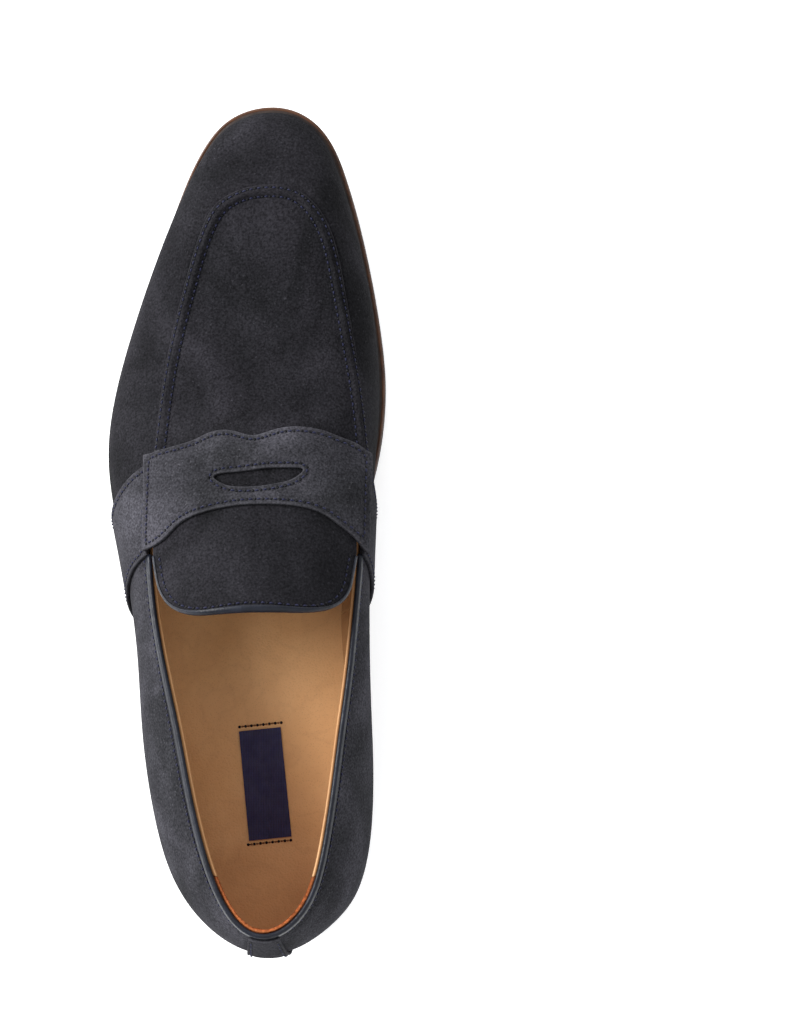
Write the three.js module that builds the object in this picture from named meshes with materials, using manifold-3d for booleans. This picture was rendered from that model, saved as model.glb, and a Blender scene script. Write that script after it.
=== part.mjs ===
// Penny loafer, left shoe, European size 42, built in millimetres.
// +Y runs to the toe, +X to the big-toe side, +Z up, and the floor is z = 0.
// While the pieces are shaped, y is counted from the back of the heel; the finished group is
// then moved so that its footprint is centred on the origin.
//
// Every piece of the upper lies on one surface, the outside of the quarters and vamp, at its
// own distance from it. Distances outward are positive, so the lining has the lowest numbers.
import * as THREE from "three";
import { mergeVertices } from "three/addons/utils/BufferGeometryUtils.js";
import Module from "manifold-3d";

const wasm = await Module();
wasm.setup();

// ---------------------------------------------------------------- driving dimensions

const GAP = 0.3; // air left between neighbouring pieces
const AXIS_X = 10; // the heel back and the toe tip both lie on this line
const LENGTH = 304; // over the sole
const HEEL_START = 3.7; // the quarters overhang the sole by this much at the back

// layers of the upper, as [inner, outer] distances from the outside of the quarters
const LINING = [-3.7, -2.7];
const STIFFENER = [-2.4, -1.6];
const UPPER = [-1.3, 0];
const OVERLAY = [0.3, 1.6];
const SADDLE = [1.9, 3.2];
const BACKSTAY = [0.3, 1.4];
const TONGUE_LINING = [-0.9, 0];
const LAST = -4.2; // the pieces inside the shoe keep this far in
const LINING_SEAM_BACK = 12; // from the seam of vamp and quarters back to the seam of their linings
const APRON_LAP = 1.2; // the apron reaches this far outside its seam
const VAMP_LAP = 6; // and the vamp this far under the apron
const MARGIN = 12; // width of the edge that is turned under the insole
const FEATHER_INSET = 2; // from the edge of the sole in to the upper

// bottom stack
const WELT_THICK = 3;
const TREAD_THICK = 1.9;
const TREAD_FROM = 152;
const RIB_PITCH = 4;
const RIB_DEPTH = 0.9;
const INSOLE_THICK = 2.3;
const SOCK_THICK = 1;
const WELT_END = 67;
const BREAST_MEDIAL = 86.5; // front face of the heel, big-toe side
const BREAST_LATERAL = 92;
const BREAST_CHAMFER = 3; // knocked off the lower edge of the heel's front face
const TIP_TO = 38; // the rubber tip at the back of the heel ends here
const TOP_PIECE_HEIGHT = 5.7;
const LIFT_HEIGHT = 4.6;
const NAIL_RADIUS = 0.9;
const NAILS = [[10, 24], [-3, 31], [23, 31], [-3, 54], [22, 54]];

// openings and edges, y from the back of the heel
const MOUTH_END = 164; // the foot opening runs this far forward under the saddle
const TOPLINE_END = 150;
const BINDING_HEIGHT = 3;
const BINDING_THICK = 0.6;
const BINDING_CLEAR = 140.4; // the binding runs forward to the straps
const BACKSTAY_X = [3, 18];
const STRAP_CLEAR = 1.7; // from the top line out to the upper edge of the side straps
const SOCK_CLEAR = 1.5; // from the lining in to the insole and the sock liner
const PUFF_FROM = 240;
const GRIP_TO = 33;

// heights along the shoe
const featherZ = through([[0, 24.3], [30, 23.2], [60, 22.5], [80, 22], [92, 20.8], [105, 18], [120, 13.8],
  [135, 10.4], [150, 9.2], [170, 9.5], [190, 11], [210, 12.8], [230, 15], [250, 18.9], [270, 24.4],
  [290, 30.8], [304, 33.6]]);
const soleBottomZ = through([[0, 15.9], [70, 15.9], [82, 15.6], [94, 13.1], [110, 9.7], [130, 5], [150, 1.9],
  [162, 0.5], [172, 0], [185, 0.3], [200, 1.5], [230, 5], [250, 9.5], [270, 15.2], [290, 22.3], [304, 26.4]]);
const soleEdgeRise = through([[0, 0], [95, 0], [130, 1], [160, 2.3], [180, 3.1], [200, 3.5], [220, 3],
  [240, 1.6], [260, 0.5], [304, 0]]);
const toplineZ = through([[13, 89.6], [40, 84], [80, 75.2], [110, 68.8], [135, 63], [155, 58.3], [175, 53.3],
  [200, 48.6], [222, 46.4], [240, 46.8], [256, 48.8], [274, 49.4]]);
const ridgeZ = through([[14, 92], [30, 104], [60, 107], [90, 102], [118, 92.5], [130, 87.6], [140, 83],
  [150, 78], [160, 72.8], [170, 68.2], [180, 64.2], [190, 60.3], [205, 54.6], [220, 50.6], [235, 49],
  [255, 49.6], [274, 49.3]]);
const bulgeZ = through([[0, 50], [60, 47], [110, 42], [150, 38], [200, 35.5], [250, 39], [294, 43.5]]);

// plan outlines as [y, x] down each side
const sole = outline(HEEL_START, LENGTH,
  [[12, -9.5], [25, -18], [45, -22.5], [70, -25], [95, -29.5], [120, -37], [145, -45], [165, -50],
    [178, -51], [200, -48], [221.8, -42], [243.5, -35], [264.6, -27], [278.5, -21], [292.2, -13],
    [299.2, -6]],
  [[12, 29.5], [25, 38.5], [45, 42.5], [70, 40.5], [95, 35.5], [115, 33.5], [135, 36], [155, 42],
    [175, 47.6], [190, 50], [206, 50.6], [221.8, 49.2], [243.5, 45.6], [264.6, 40.8], [278.5, 36.7],
    [292.2, 30.8], [299.2, 24.5]]);
const bulge = outline(1.5, 294.5,
  [[10, -10.5], [20, -19.5], [30, -25], [50, -31], [80, -35.6], [110, -38.2], [140, -43], [155, -45.7],
    [175, -47.9], [200, -45.2], [222, -39.4], [243, -32.3], [264, -23.8], [278, -16.5], [289, -7]],
  [[10, 30], [20, 39], [30, 43], [50, 46], [70, 46.6], [100, 45.4], [130, 45], [155, 46.2], [175, 47],
    [190, 47.5], [206, 47.4], [222, 46.3], [243, 42.8], [264, 37.5], [278, 32], [289, 24.5]]);
const topline = outline(13.9, 273.9,
  [[17.5, 1.5], [27, -5.2], [45.3, -11.9], [64, -16.5], [82.8, -20.5], [101.8, -25.1], [121, -29.1],
    [140.3, -31.3], [160, -31.6], [180, -29.6], [204.3, -26.8], [224.2, -23.7], [241.9, -20],
    [255.5, -15.6], [266.3, -8.9], [272, -1.5]],
  [[17.5, 19], [27, 26], [45.3, 30.8], [64, 33.6], [82.8, 36], [101.8, 38.6], [121, 40.6], [140.3, 42.3],
    [160, 43.4], [180, 43.4], [204.3, 41.2], [224.2, 38.9], [243.8, 36.1], [255.5, 33.2], [266.3, 27.6],
    [272, 20.5]]);

// ---------------------------------------------------------------- curves

/** The smooth curve y(x) through [x, y] pairs, straight beyond its ends. */
function through(pairs) {
  const x = pairs.map((pair) => pair[0]);
  const y = pairs.map((pair) => pair[1]);
  const last = x.length - 1;
  const bend = new Array(last + 1).fill(0);
  const carry = new Array(last + 1).fill(0);
  for (let i = 1; i < last; i++) {
    const share = (x[i] - x[i - 1]) / (x[i + 1] - x[i - 1]);
    const pivot = share * bend[i - 1] + 2;
    const kink = (y[i + 1] - y[i]) / (x[i + 1] - x[i]) - (y[i] - y[i - 1]) / (x[i] - x[i - 1]);
    bend[i] = (share - 1) / pivot;
    carry[i] = ((6 * kink) / (x[i + 1] - x[i - 1]) - share * carry[i - 1]) / pivot;
  }
  bend[last] = 0;
  for (let i = last - 1; i >= 0; i--) bend[i] = bend[i] * bend[i + 1] + carry[i];
  const slopeAt = (i, j) => (y[j] - y[i]) / (x[j] - x[i]);
  const firstSlope = slopeAt(0, 1) - ((x[1] - x[0]) * bend[1]) / 6;
  const lastSlope = slopeAt(last - 1, last) + ((x[last] - x[last - 1]) * bend[last - 1]) / 6;
  return (at) => {
    if (at <= x[0]) return y[0] + (at - x[0]) * firstSlope;
    if (at >= x[last]) return y[last] + (at - x[last]) * lastSlope;
    let i = 0;
    while (at > x[i + 1]) i++;
    const step = x[i + 1] - x[i];
    const b = (at - x[i]) / step;
    const a = 1 - b;
    return a * y[i] + b * y[i + 1]
      + (((a ** 3 - a) * bend[i] + (b ** 3 - b) * bend[i + 1]) * step * step) / 6;
  };
}

/** A closed plan outline as a function of t: 0 heel back, 1 toe up the little-toe side, 1 to 2 back down. */
function outline(back, front, lateral, medial) {
  const turn = (y) => Math.acos(1 - (2 * (y - back)) / (front - back)) / Math.PI;
  const ring = [
    [0, AXIS_X],
    ...lateral.map(([y, x]) => [turn(y), x]),
    [1, AXIS_X],
    ...[...medial].reverse().map(([y, x]) => [2 - turn(y), x]),
  ];
  const across = through([-2, 0, 2].flatMap((shift) => ring.map(([t, x]) => [t + shift, x])));
  const at = (t) => new THREE.Vector2(across(t), back + ((front - back) * (1 - Math.cos(Math.PI * t))) / 2);
  at.turn = turn;
  return at;
}

/** The point of an outline moved inward, square to the outline. */
function inset(loop, t, distance) {
  const step = 1e-3;
  const along = loop(t + step).sub(loop(t - step)).normalize();
  return loop(t).add(new THREE.Vector2(along.y, -along.x).multiplyScalar(distance));
}

/** Points of an inset outline from turn `from` to turn `to`. */
function insetPoints(loop, distance, from = 0, to = 2, count = 56) {
  const points = [];
  for (let i = 0; i <= count; i++) points.push(inset(loop, from + ((to - from) * i) / count, distance));
  return points;
}

/** Points [y, z] of a height curve between two y values. */
function heightPoints(height, from, to, count = 24) {
  const points = [];
  for (let i = 0; i <= count; i++) {
    const y = from + ((to - from) * i) / count;
    points.push(new THREE.Vector2(y, height(y)));
  }
  return points;
}

const toPoints = (pairs) => pairs.map(([x, y]) => new THREE.Vector2(x, y));

/** A smooth open curve through points, as short straight runs. */
const smooth = (pairs, count = 24) => new THREE.SplineCurve(toPoints(pairs)).getPoints(count);

/** A smooth closed curve through points. */
function smoothClosed(pairs, count = 24) {
  const knots = pairs.map(([x, y]) => new THREE.Vector3(x, y, 0));
  const curve = new THREE.CatmullRomCurve3(knots, true, "centripetal");
  return curve.getPoints(count).slice(0, -1).map((p) => new THREE.Vector2(p.x, p.y));
}

// ---------------------------------------------------------------- solids

/** A closed solid of a geometry, its doubled points joined and its empty triangles dropped. */
function solidOf(geometry) {
  geometry.deleteAttribute("normal");
  geometry.deleteAttribute("uv");
  const welded = mergeVertices(geometry, 1e-4);
  const corners = welded.index.array;
  const kept = [];
  for (let i = 0; i < corners.length; i += 3) {
    const [a, b, c] = [corners[i], corners[i + 1], corners[i + 2]];
    if (a !== b && b !== c && c !== a) kept.push(a, b, c);
  }
  const vertProperties = welded.attributes.position.array;
  const make = (triVerts) => new wasm.Manifold(new wasm.Mesh({ numProp: 3, vertProperties, triVerts }));
  const solid = make(new Uint32Array(kept));
  return solid.volume() > 0 ? solid : make(new Uint32Array(kept).reverse());
}

/** A solid through a row of closed sections; flat ends are filled when `ends` is true. */
function loft(sections, ends) {
  const size = sections[0].length;
  const positions = sections.flatMap((section) => section.flatMap((p) => [p.x, p.y, p.z]));
  const index = [];
  for (let i = 0; i + 1 < sections.length; i++) {
    for (let j = 0; j < size; j++) {
      const a = i * size + j;
      const b = i * size + ((j + 1) % size);
      index.push(a, a + size, b, b, a + size, b + size);
    }
  }
  if (ends) {
    const finish = (sections.length - 1) * size;
    for (const [a, b, c] of fill(sections[0])) index.push(a, b, c);
    for (const [a, b, c] of fill(sections.at(-1))) index.push(finish + a, finish + c, finish + b);
  }
  const geometry = new THREE.BufferGeometry();
  geometry.setAttribute("position", new THREE.Float32BufferAttribute(positions, 3));
  geometry.setIndex(index);
  return solidOf(geometry);
}

/** Triangles that fill a section lying across the shoe, in the section's own turning direction. */
function fill(section) {
  const flat = section.map((p) => new THREE.Vector2(p.x, p.z));
  const faces = THREE.ShapeUtils.triangulateShape(flat, []);
  const turnsBack = THREE.ShapeUtils.area(flat) < 0;
  return faces.map(([a, b, c]) => (THREE.ShapeUtils.area([flat[a], flat[b], flat[c]]) < 0 === turnsBack
    ? [a, b, c] : [a, c, b]));
}

/** An outline pulled square to its own plane. */
const pulled = (points, depth) => new THREE.ExtrudeGeometry(
  new THREE.Shape(points), { depth, bevelEnabled: false });

/** A plan outline pulled straight up from `low` to `high`. */
function planPrism(points, low = -20, high = 140) {
  return solidOf(pulled(points, high - low).translate(0, 0, low));
}

/** A side-view outline of [y, z] points pulled across the shoe from `left` to `right`. */
function sidePrism(points, left = -80, right = 80) {
  const turned = new THREE.Matrix4().makeBasis(
    new THREE.Vector3(0, 1, 0), new THREE.Vector3(0, 0, 1), new THREE.Vector3(1, 0, 0));
  return solidOf(pulled(points, right - left).applyMatrix4(turned).translate(left, 0, 0));
}

/** Everything between two height curves, over a stretch of the shoe. */
function between(low, high, from = -20, to = 330) {
  return sidePrism([...heightPoints(low, from, to), ...heightPoints(high, from, to).reverse()]);
}

/** Everything behind / ahead of a side-view line drawn from top to bottom. */
const behind = (line) => sidePrism([new THREE.Vector2(-40, 130), ...line, new THREE.Vector2(-40, -30)]);
const ahead = (line) => sidePrism([new THREE.Vector2(340, 130), ...line, new THREE.Vector2(340, -30)]);
const block = (from, to) => sidePrism(toPoints([[from, -30], [to, -30], [to, 130], [from, 130]]));

/** The largest body of a solid, for cuts that leave crumbs. */
const whole = (solid) => solid.decompose().sort((a, b) => b.volume() - a.volume())[0];

// ---------------------------------------------------------------- the surface of the upper

const WALL_ROWS = 5;
const CAP_ROWS = 4;
const STATIONS = 28;
const CAP_POWER = 2.1; // how squarely the instep arches over
const FAN_Y = 256; // ahead of this the top of the toe fans out from one point

/** Where the side of the shoe runs: v = 0 at the welt, 1 at the top line or the apron seam. */
function wallPoint(t, v) {
  const low = inset(sole, t, FEATHER_INSET);
  const middle = bulge(t);
  const high = topline(t);
  const pull = middle.clone().multiplyScalar(2).addScaledVector(low, -0.5).addScaledVector(high, -0.5);
  const mix = (a, b, c) => a * (1 - v) ** 2 + 2 * b * v * (1 - v) + c * v * v;
  return new THREE.Vector3(
    mix(low.x, pull.x, high.x),
    mix(low.y, pull.y, high.y),
    mix(featherZ(low.y) + GAP, bulgeZ(middle.y), toplineZ(high.y)));
}

/** The top of the shoe: s = 1 on the apron seam, 0 along the middle. */
function capPoint(t, s) {
  const edge = topline(t);
  const spineY = Math.min(edge.y, FAN_Y);
  const spineTurn = topline.turn(spineY);
  const spineX = (topline(spineTurn).x + topline(-spineTurn).x) / 2;
  const rise = s ** CAP_POWER;
  return new THREE.Vector3(
    spineX + (edge.x - spineX) * s,
    spineY + (edge.y - spineY) * s,
    ridgeZ(spineY) + (toplineZ(edge.y) - ridgeZ(spineY)) * rise);
}

/** The outward direction of a surface patch at (t, u), where u grows from the welt to the middle. */
function facing(patch, t, u, side) {
  const step = 1e-3;
  const along = patch(t + step, u).sub(patch(t - step, u));
  const up = patch(t, u + side * step).sub(patch(t, u)).multiplyScalar(side);
  const out = up.cross(along);
  return out.length() > 1e-12 ? out.normalize() : new THREE.Vector3(0, 0, 1);
}

/** Half of one cross-section, from the welt up to the middle, moved outward by `distance`. */
function halfSection(t, distance) {
  const inward = (turn, u) => capPoint(turn, 1 - u);
  const points = [];
  const start = bottomStart(t, distance);
  for (let row = 0; row < WALL_ROWS; row++) {
    const v = start + ((1 - start) * row) / WALL_ROWS;
    points.push(wallPoint(t, v).addScaledVector(facing(wallPoint, t, v, 1), distance));
  }
  points[0].z = featherZ(points[0].y) + GAP - distance;
  const sideways = facing(wallPoint, t, 1, -1);
  const upward = facing(inward, t, 0, 1);
  const mitre = sideways.clone().add(upward).divideScalar(1 + sideways.dot(upward));
  points.push(wallPoint(t, 1).addScaledVector(mitre, distance));
  for (let row = 1; row <= CAP_ROWS; row++) {
    const u = row / CAP_ROWS;
    points.push(inward(t, u).addScaledVector(facing(inward, t, u, -1), distance));
  }
  return points;
}

/** How far up the wall an inner layer starts, so that its bottom lies on the layer outside it. */
function bottomStart(t, distance) {
  const low = inset(sole, t, FEATHER_INSET);
  const climb = 2 * (bulgeZ(bulge(t).y) - featherZ(low.y));
  return Math.max(0, -distance) / climb;
}

const skins = new Map();

/** The closed body of the whole foot shape, `distance` outside the quarters. */
function skin(distance) {
  if (skins.has(distance)) return skins.get(distance);
  const sections = [];
  for (let i = 0; i <= STATIONS; i++) {
    const t = i / STATIONS;
    const left = halfSection(t, distance);
    const right = halfSection(-t, distance);
    if (i === 0 || i === STATIONS) right.forEach((p, row) => p.copy(left[row]));
    right.at(-1).copy(left.at(-1));
    sections.push([...left, ...right.slice(0, -1).reverse()]);
  }
  skins.set(distance, loft(sections, false));
  return skins.get(distance);
}

/** A layer of the upper between two distances. */
const shell = ([inner, outer]) => skin(outer).subtract(skin(inner));

// ---------------------------------------------------------------- shared cutters

const aboveWelt = between((y) => featherZ(y) + GAP, () => 140);
const behindSeat = between((y) => featherZ(y) - 30, (y) => featherZ(y) + 6);
/** The middle of the underside, where no edge is turned under. */
const underMiddle = planPrism(insetPoints(sole, FEATHER_INSET + MARGIN)).intersect(behindSeat);
const aboveTopline = between((y) => toplineZ(y), () => 150, -20, TOPLINE_END);
const tongueWay = planPrism([
  ...insetPoints(topline, 0.5, topline.turn(100), topline.turn(156), 12),
  ...smooth([[-27, MOUTH_END - 4], [-18, MOUTH_END - 1], [6, MOUTH_END], [30, MOUTH_END - 1],
    [39, MOUTH_END - 4]], 12),
  ...insetPoints(topline, 0.5, 2 - topline.turn(156), 2 - topline.turn(100), 12),
]).intersect(between(toplineZ, () => 150, 90, 170));
const mouth = aboveTopline.add(tongueWay);

/** Side-view line of the butt seam between vamp and quarters, under the straps. */
const vampSeam = toPoints([[156, 130], [152, 68], [148, 54], [142, 42], [136, 30], [131, 18], [128, -30]]);
const strapRear = toPoints([[143.5, 130], [143.5, 63], [136.5, 52], [129, 42], [122.5, 33], [116.5, 24],
  [112, 17], [105, -30]]);
const strapFront = toPoints([[190, 130], [184, 62], [176.5, 54], [169.5, 48], [162.5, 41], [155, 29],
  [150, 20], [146, 10], [140, -30]]);
const moved = (line, by) => line.map((p) => new THREE.Vector2(p.x + by, p.y));

// ---------------------------------------------------------------- the upper

function quarters() {
  const band = shell(UPPER).intersect(behind(moved(vampSeam, -GAP / 2)))
    .subtract(between((y) => toplineZ(y) - BINDING_THICK - GAP, () => 150, -20, TOPLINE_END))
    .subtract(mouth).subtract(underMiddle);
  const seamX = AXIS_X - GAP / 2;
  const left = planPrism(toPoints([[-80, -20], [seamX, -20], [seamX, 200], [-80, 200]]));
  return [band.intersect(left), band.subtract(left.translate([GAP, 0, 0]))].map(whole);
}

function vampWall() {
  const plug = planPrism(insetPoints(topline, VAMP_LAP, topline.turn(160), 2 - topline.turn(160)));
  return whole(shell(UPPER).intersect(ahead(moved(vampSeam, GAP / 2)))
    .subtract(plug.intersect(between((y) => toplineZ(y) - 15, () => 150)))
    .subtract(planPrism(insetPoints(topline, 0, topline.turn(100), topline.turn(170), 12).concat(
      insetPoints(topline, 0, 2 - topline.turn(170), 2 - topline.turn(100), 12)))
      .intersect(between((y) => toplineZ(y) - 1, () => 150)))
    .subtract(underMiddle));
}

function apron() {
  const rear = topline.turn(MOUTH_END);
  const plan = planPrism(insetPoints(topline, -APRON_LAP, rear, 2 - rear));
  return whole(shell(OVERLAY).intersect(plan).subtract(tongueWay)
    .intersect(between((y) => toplineZ(y) - 8, () => 150)));
}

const saddleRear = [[-32, 145.2], [-24.1, 148.6], [-19.3, 153], [-9.6, 156.8], [0, 158.7], [9.6, 159.2],
  [19.2, 158.7], [28.9, 155.9], [33.8, 153.4], [38.7, 150.1], [43, 144.7]];
const saddleFront = [[44.4, 177.5], [39.1, 181.3], [34.1, 183.2], [29.2, 185.1], [24.3, 186.2], [19.4, 186.5],
  [14.6, 186], [9.7, 184.5], [4.8, 183.3], [0, 184.5], [-4.9, 185.3], [-9.7, 184.4], [-14.6, 182.1],
  [-19.5, 180.5], [-24.4, 179.3], [-29.4, 177.9], [-32.4, 176]];
const slit = [[-7.7, 168.6], [0, 170.5], [9.7, 171.8], [19.3, 172], [21.8, 171.6], [19.3, 168.6],
  [14.5, 166.7], [9.6, 165.7], [4.8, 165.2], [0, 165.2], [-3.9, 166]];

function saddle() {
  const plan = planPrism([...smooth(saddleRear, 20), ...smooth(saddleFront, 32)]);
  return whole(shell(SADDLE).intersect(plan).subtract(planPrism(smoothClosed(slit, 22)))
    .intersect(between((y) => toplineZ(y) - 6, () => 150)));
}

function straps() {
  const top = planPrism(insetPoints(topline, -STRAP_CLEAR, topline.turn(100), 2 - topline.turn(100)))
    .intersect(between((y) => toplineZ(y) - 15, () => 150));
  const both = shell(OVERLAY).intersect(ahead(strapRear)).intersect(behind(strapFront))
    .subtract(top).intersect(aboveWelt);
  const left = planPrism(toPoints([[-80, -20], [0, -20], [0, 330], [-80, 330]]));
  return [both.intersect(left), both.subtract(left)].map(whole);
}

function backstay() {
  const strip = planPrism(toPoints([[BACKSTAY_X[0], -20], [BACKSTAY_X[1], -20], [BACKSTAY_X[1], 20],
    [BACKSTAY_X[0], 20]]));
  return whole(shell(BACKSTAY).intersect(strip).intersect(aboveWelt)
    .subtract(between((y) => toplineZ(y) - BINDING_HEIGHT - GAP, () => 150, -20, 40)));
}

function toplineBinding() {
  const outer = skin(GAP + BINDING_THICK).subtract(skin(UPPER[0] - GAP - BINDING_THICK));
  const core = skin(GAP).subtract(skin(UPPER[0] - GAP))
    .intersect(between(() => -20, (y) => toplineZ(y) - BINDING_THICK, -20, TOPLINE_END));
  const clearOfStraps = block(BINDING_CLEAR, 330)
    .subtract(planPrism(insetPoints(topline, -1.3, topline.turn(100), 2 - topline.turn(100))));
  return whole(outer.intersect(between((y) => toplineZ(y) - BINDING_HEIGHT, toplineZ, -20, TOPLINE_END - 4))
    .subtract(core).subtract(clearOfStraps));
}

function toePuff() {
  return whole(shell(STIFFENER).intersect(block(PUFF_FROM, 330)).subtract(underMiddle));
}

function heelCounter() {
  const line = toPoints([[30, 130], [38, 80], [58, 60], [76, 40], [88, 20], [92, -30]]);
  return whole(shell(STIFFENER).intersect(behind(line)).subtract(underMiddle)
    .subtract(between((y) => toplineZ(y) - BINDING_HEIGHT - 3, () => 150, -20, 120)));
}

function linings() {
  const all = shell(LINING).subtract(mouth).subtract(underMiddle);
  const front = all.intersect(ahead(moved(vampSeam, GAP / 2 - LINING_SEAM_BACK)));
  const rear = all.intersect(behind(moved(vampSeam, -GAP / 2 - LINING_SEAM_BACK)));
  const grip = rear.intersect(block(-40, GRIP_TO));
  const middle = rear.intersect(block(GRIP_TO + GAP, 330));
  const left = planPrism(toPoints([[-80, -20], [AXIS_X, -20], [AXIS_X, 330], [-80, 330]]));
  return [front, middle.intersect(left), middle.subtract(left), grip].map(whole);
}

// ---------------------------------------------------------------- the tongue

const tongueEdge = [[-28, 143], [-27.4, 136], [-25.8, 129.5], [-22, 124.6], [-15, 122.3], [-6, 122.7],
  [6, 123.5], [18, 123.3], [28, 123.3], [34, 125], [37, 128.4], [38.5, 135.5], [39, 143]];
const tongueRoot = [[37.5, 149.5], [34, 155], [26, 159.5], [6, 161.7], [-14, 159.5], [-22.5, 155],
  [-26.5, 149.5]];
const TONGUE_BINDING_END = 143;

/** The tongue's plan outline, drawn in by a distance. */
function tonguePlan(distance) {
  const around = [...smooth(tongueEdge, 30), ...smooth(tongueRoot, 12)];
  const middle = new THREE.Vector2(6, 144);
  const drawnIn = around.map((p) => {
    const reach = p.clone().sub(middle);
    return p.addScaledVector(reach, -distance / reach.length());
  });
  return planPrism(drawnIn).intersect(between((y) => toplineZ(y) - 5, () => 150, 90, 180));
}

function tonguePieces() {
  const skinThick = 0.5;
  const inner = tonguePlan(skinThick + GAP);
  const tongue = shell(OVERLAY).intersect(inner);
  const backing = shell(TONGUE_LINING).intersect(inner);
  const legs = tonguePlan(0).subtract(tonguePlan(BINDING_HEIGHT)).intersect(block(90, TONGUE_BINDING_END));
  const wrap = skin(OVERLAY[1] + GAP + skinThick).subtract(skin(TONGUE_LINING[0] - GAP - skinThick));
  const core = skin(OVERLAY[1] + GAP).subtract(skin(TONGUE_LINING[0] - GAP)).intersect(tonguePlan(skinThick));
  return [tongue, backing, wrap.intersect(legs).subtract(core)].map(whole);
}

// ---------------------------------------------------------------- the bottom

const FULL_ROWS = 30;
const evenRows = (from, to, count) => Array.from(
  { length: count + 1 }, (_, i) => from + ((to - from) * i) / count);

/** A slab between two height rules (x, y), drawn through the given rows along the shoe. */
function slab(low, high, rows) {
  const columns = evenRows(-63, 63, 5);
  const sections = rows.map((y) => [
    ...columns.map((x) => new THREE.Vector3(x, y, low(x, y))),
    ...[...columns].reverse().map((x) => new THREE.Vector3(x, y, high(x, y))),
  ]);
  return loft(sections, true);
}

/** The underside of the sole, a little lower along the middle than at the edges. */
function soleLow(x, y) {
  const fromMiddle = Math.min(1, Math.abs(x) / 50);
  return soleBottomZ(y) + soleEdgeRise(y) * fromMiddle ** 3;
}

const soleTop = (y) => featherZ(y) - WELT_THICK - GAP;
const solePlan = planPrism(insetPoints(sole, 0));
const soleRows = evenRows(-5, 315, FULL_ROWS);
const underSole = slab(() => -20, (x, y) => soleLow(x, y) - GAP, soleRows);

function nailSolid([x, y], clearance) {
  const top = featherZ(y) + GAP - LAST + INSOLE_THICK - 0.2;
  const bottom = TOP_PIECE_HEIGHT + 2;
  const height = top - bottom + 2 * clearance;
  const geometry = new THREE.CylinderGeometry(NAIL_RADIUS + clearance, NAIL_RADIUS + clearance, height, 8);
  return solidOf(geometry.rotateX(Math.PI / 2).translate(x, y, (top + bottom) / 2));
}

const nailHoles = NAILS.map((place) => nailSolid(place, GAP)).reduce((all, hole) => all.add(hole));

function outsole() {
  const pocketRows = evenRows(TREAD_FROM - GAP, LENGTH + 10, 16);
  const pocket = slab(() => -20, (x, y) => soleLow(x, y) + TREAD_THICK + GAP, pocketRows);
  return whole(solePlan.intersect(slab(soleLow, (x, y) => soleTop(y), soleRows)).subtract(pocket)
    .subtract(nailHoles));
}

/** Rows a half rib apart; every second one is the bottom of a groove. */
const ribRows = (from, to) => evenRows(from, to, 2 * Math.round((to - from) / RIB_PITCH));
const ribbed = (from) => (y) => (Math.round((2 * (y - from)) / RIB_PITCH) % 2 === 0 ? 0 : RIB_DEPTH);

function forepartTread() {
  const groove = ribbed(TREAD_FROM);
  const underside = (x, y) => soleLow(x, y) + groove(y);
  const upside = (x, y) => soleLow(x, y) + TREAD_THICK;
  return whole(solePlan.intersect(slab(underside, upside, ribRows(TREAD_FROM, LENGTH + 4))));
}

const heelPlan = solePlan.intersect(planPrism(toPoints([[-80, -20], [80, -20], [80, 83.5],
  [42, BREAST_MEDIAL], [-32, BREAST_LATERAL], [-80, 94]])));

/** One layer of the heel, between two levels. */
const heelLayer = (low, high) => heelPlan.intersect(between(() => low, () => high)).intersect(underSole)
  .subtract(nailHoles);

/** The leather front of the heel's walking surface, with the lower edge of the breast knocked off. */
function topPiece() {
  const chamfer = sidePrism(toPoints([[BREAST_MEDIAL - BREAST_CHAMFER, -1], [BREAST_LATERAL + 5, -1],
    [BREAST_LATERAL + 5, 2 * BREAST_CHAMFER]]));
  return whole(heelLayer(0, TOP_PIECE_HEIGHT).intersect(block(TIP_TO + GAP, 330)).subtract(chamfer));
}

/** The ribbed rubber tip behind it. */
function heelTip() {
  const groove = ribbed(2);
  const ribs = slab(() => -5, (x, y) => groove(y), ribRows(2, TIP_TO + 4));
  return whole(heelLayer(0, TOP_PIECE_HEIGHT).intersect(block(-20, TIP_TO)).subtract(ribs));
}

const ring = (width) => solePlan.subtract(planPrism(insetPoints(sole, width)));
const rim = ring(11).intersect(between((y) => featherZ(y) - WELT_THICK, featherZ));
const WELT_NOTCH = 0.4;

/** Granulated cork that fills the hollow inside the turned-in edges. */
function corkFiller() {
  return planPrism(insetPoints(sole, FEATHER_INSET + MARGIN + 0.5)).intersect(block(TREAD_FROM, 285))
    .intersect(between((y) => soleTop(y) + GAP, (y) => insoleLow(y) - GAP));
}

const insoleLow = (y) => featherZ(y) + 2 * GAP - LAST;
const insoleHigh = (y) => insoleLow(y) + INSOLE_THICK;
const sockLow = (y) => insoleHigh(y) + GAP;
const sockHigh = (y) => sockLow(y) + SOCK_THICK;

/** A sheet lying in the shoe between two heights. */
function insideLayer(low, high) {
  const plan = planPrism(insetPoints(sole, FEATHER_INSET - LAST + SOCK_CLEAR));
  return whole(skin(LAST).intersect(plan).intersect(between(low, high)));
}

function shank() {
  const plan = planPrism(toPoints([[4, 45], [17, 47], [7, 149], [-6, 147]]));
  return plan.intersect(between((y) => soleTop(y) + GAP, (y) => soleTop(y) + GAP + 1.6));
}

function labelPatch() {
  const plan = planPrism(toPoints([[1.5, 38.4], [16.9, 40], [12.9, 79.6], [-2.2, 78]]));
  return plan.intersect(between((y) => sockHigh(y) + GAP, (y) => sockHigh(y) + GAP + 0.5));
}

// ---------------------------------------------------------------- assembly

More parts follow.
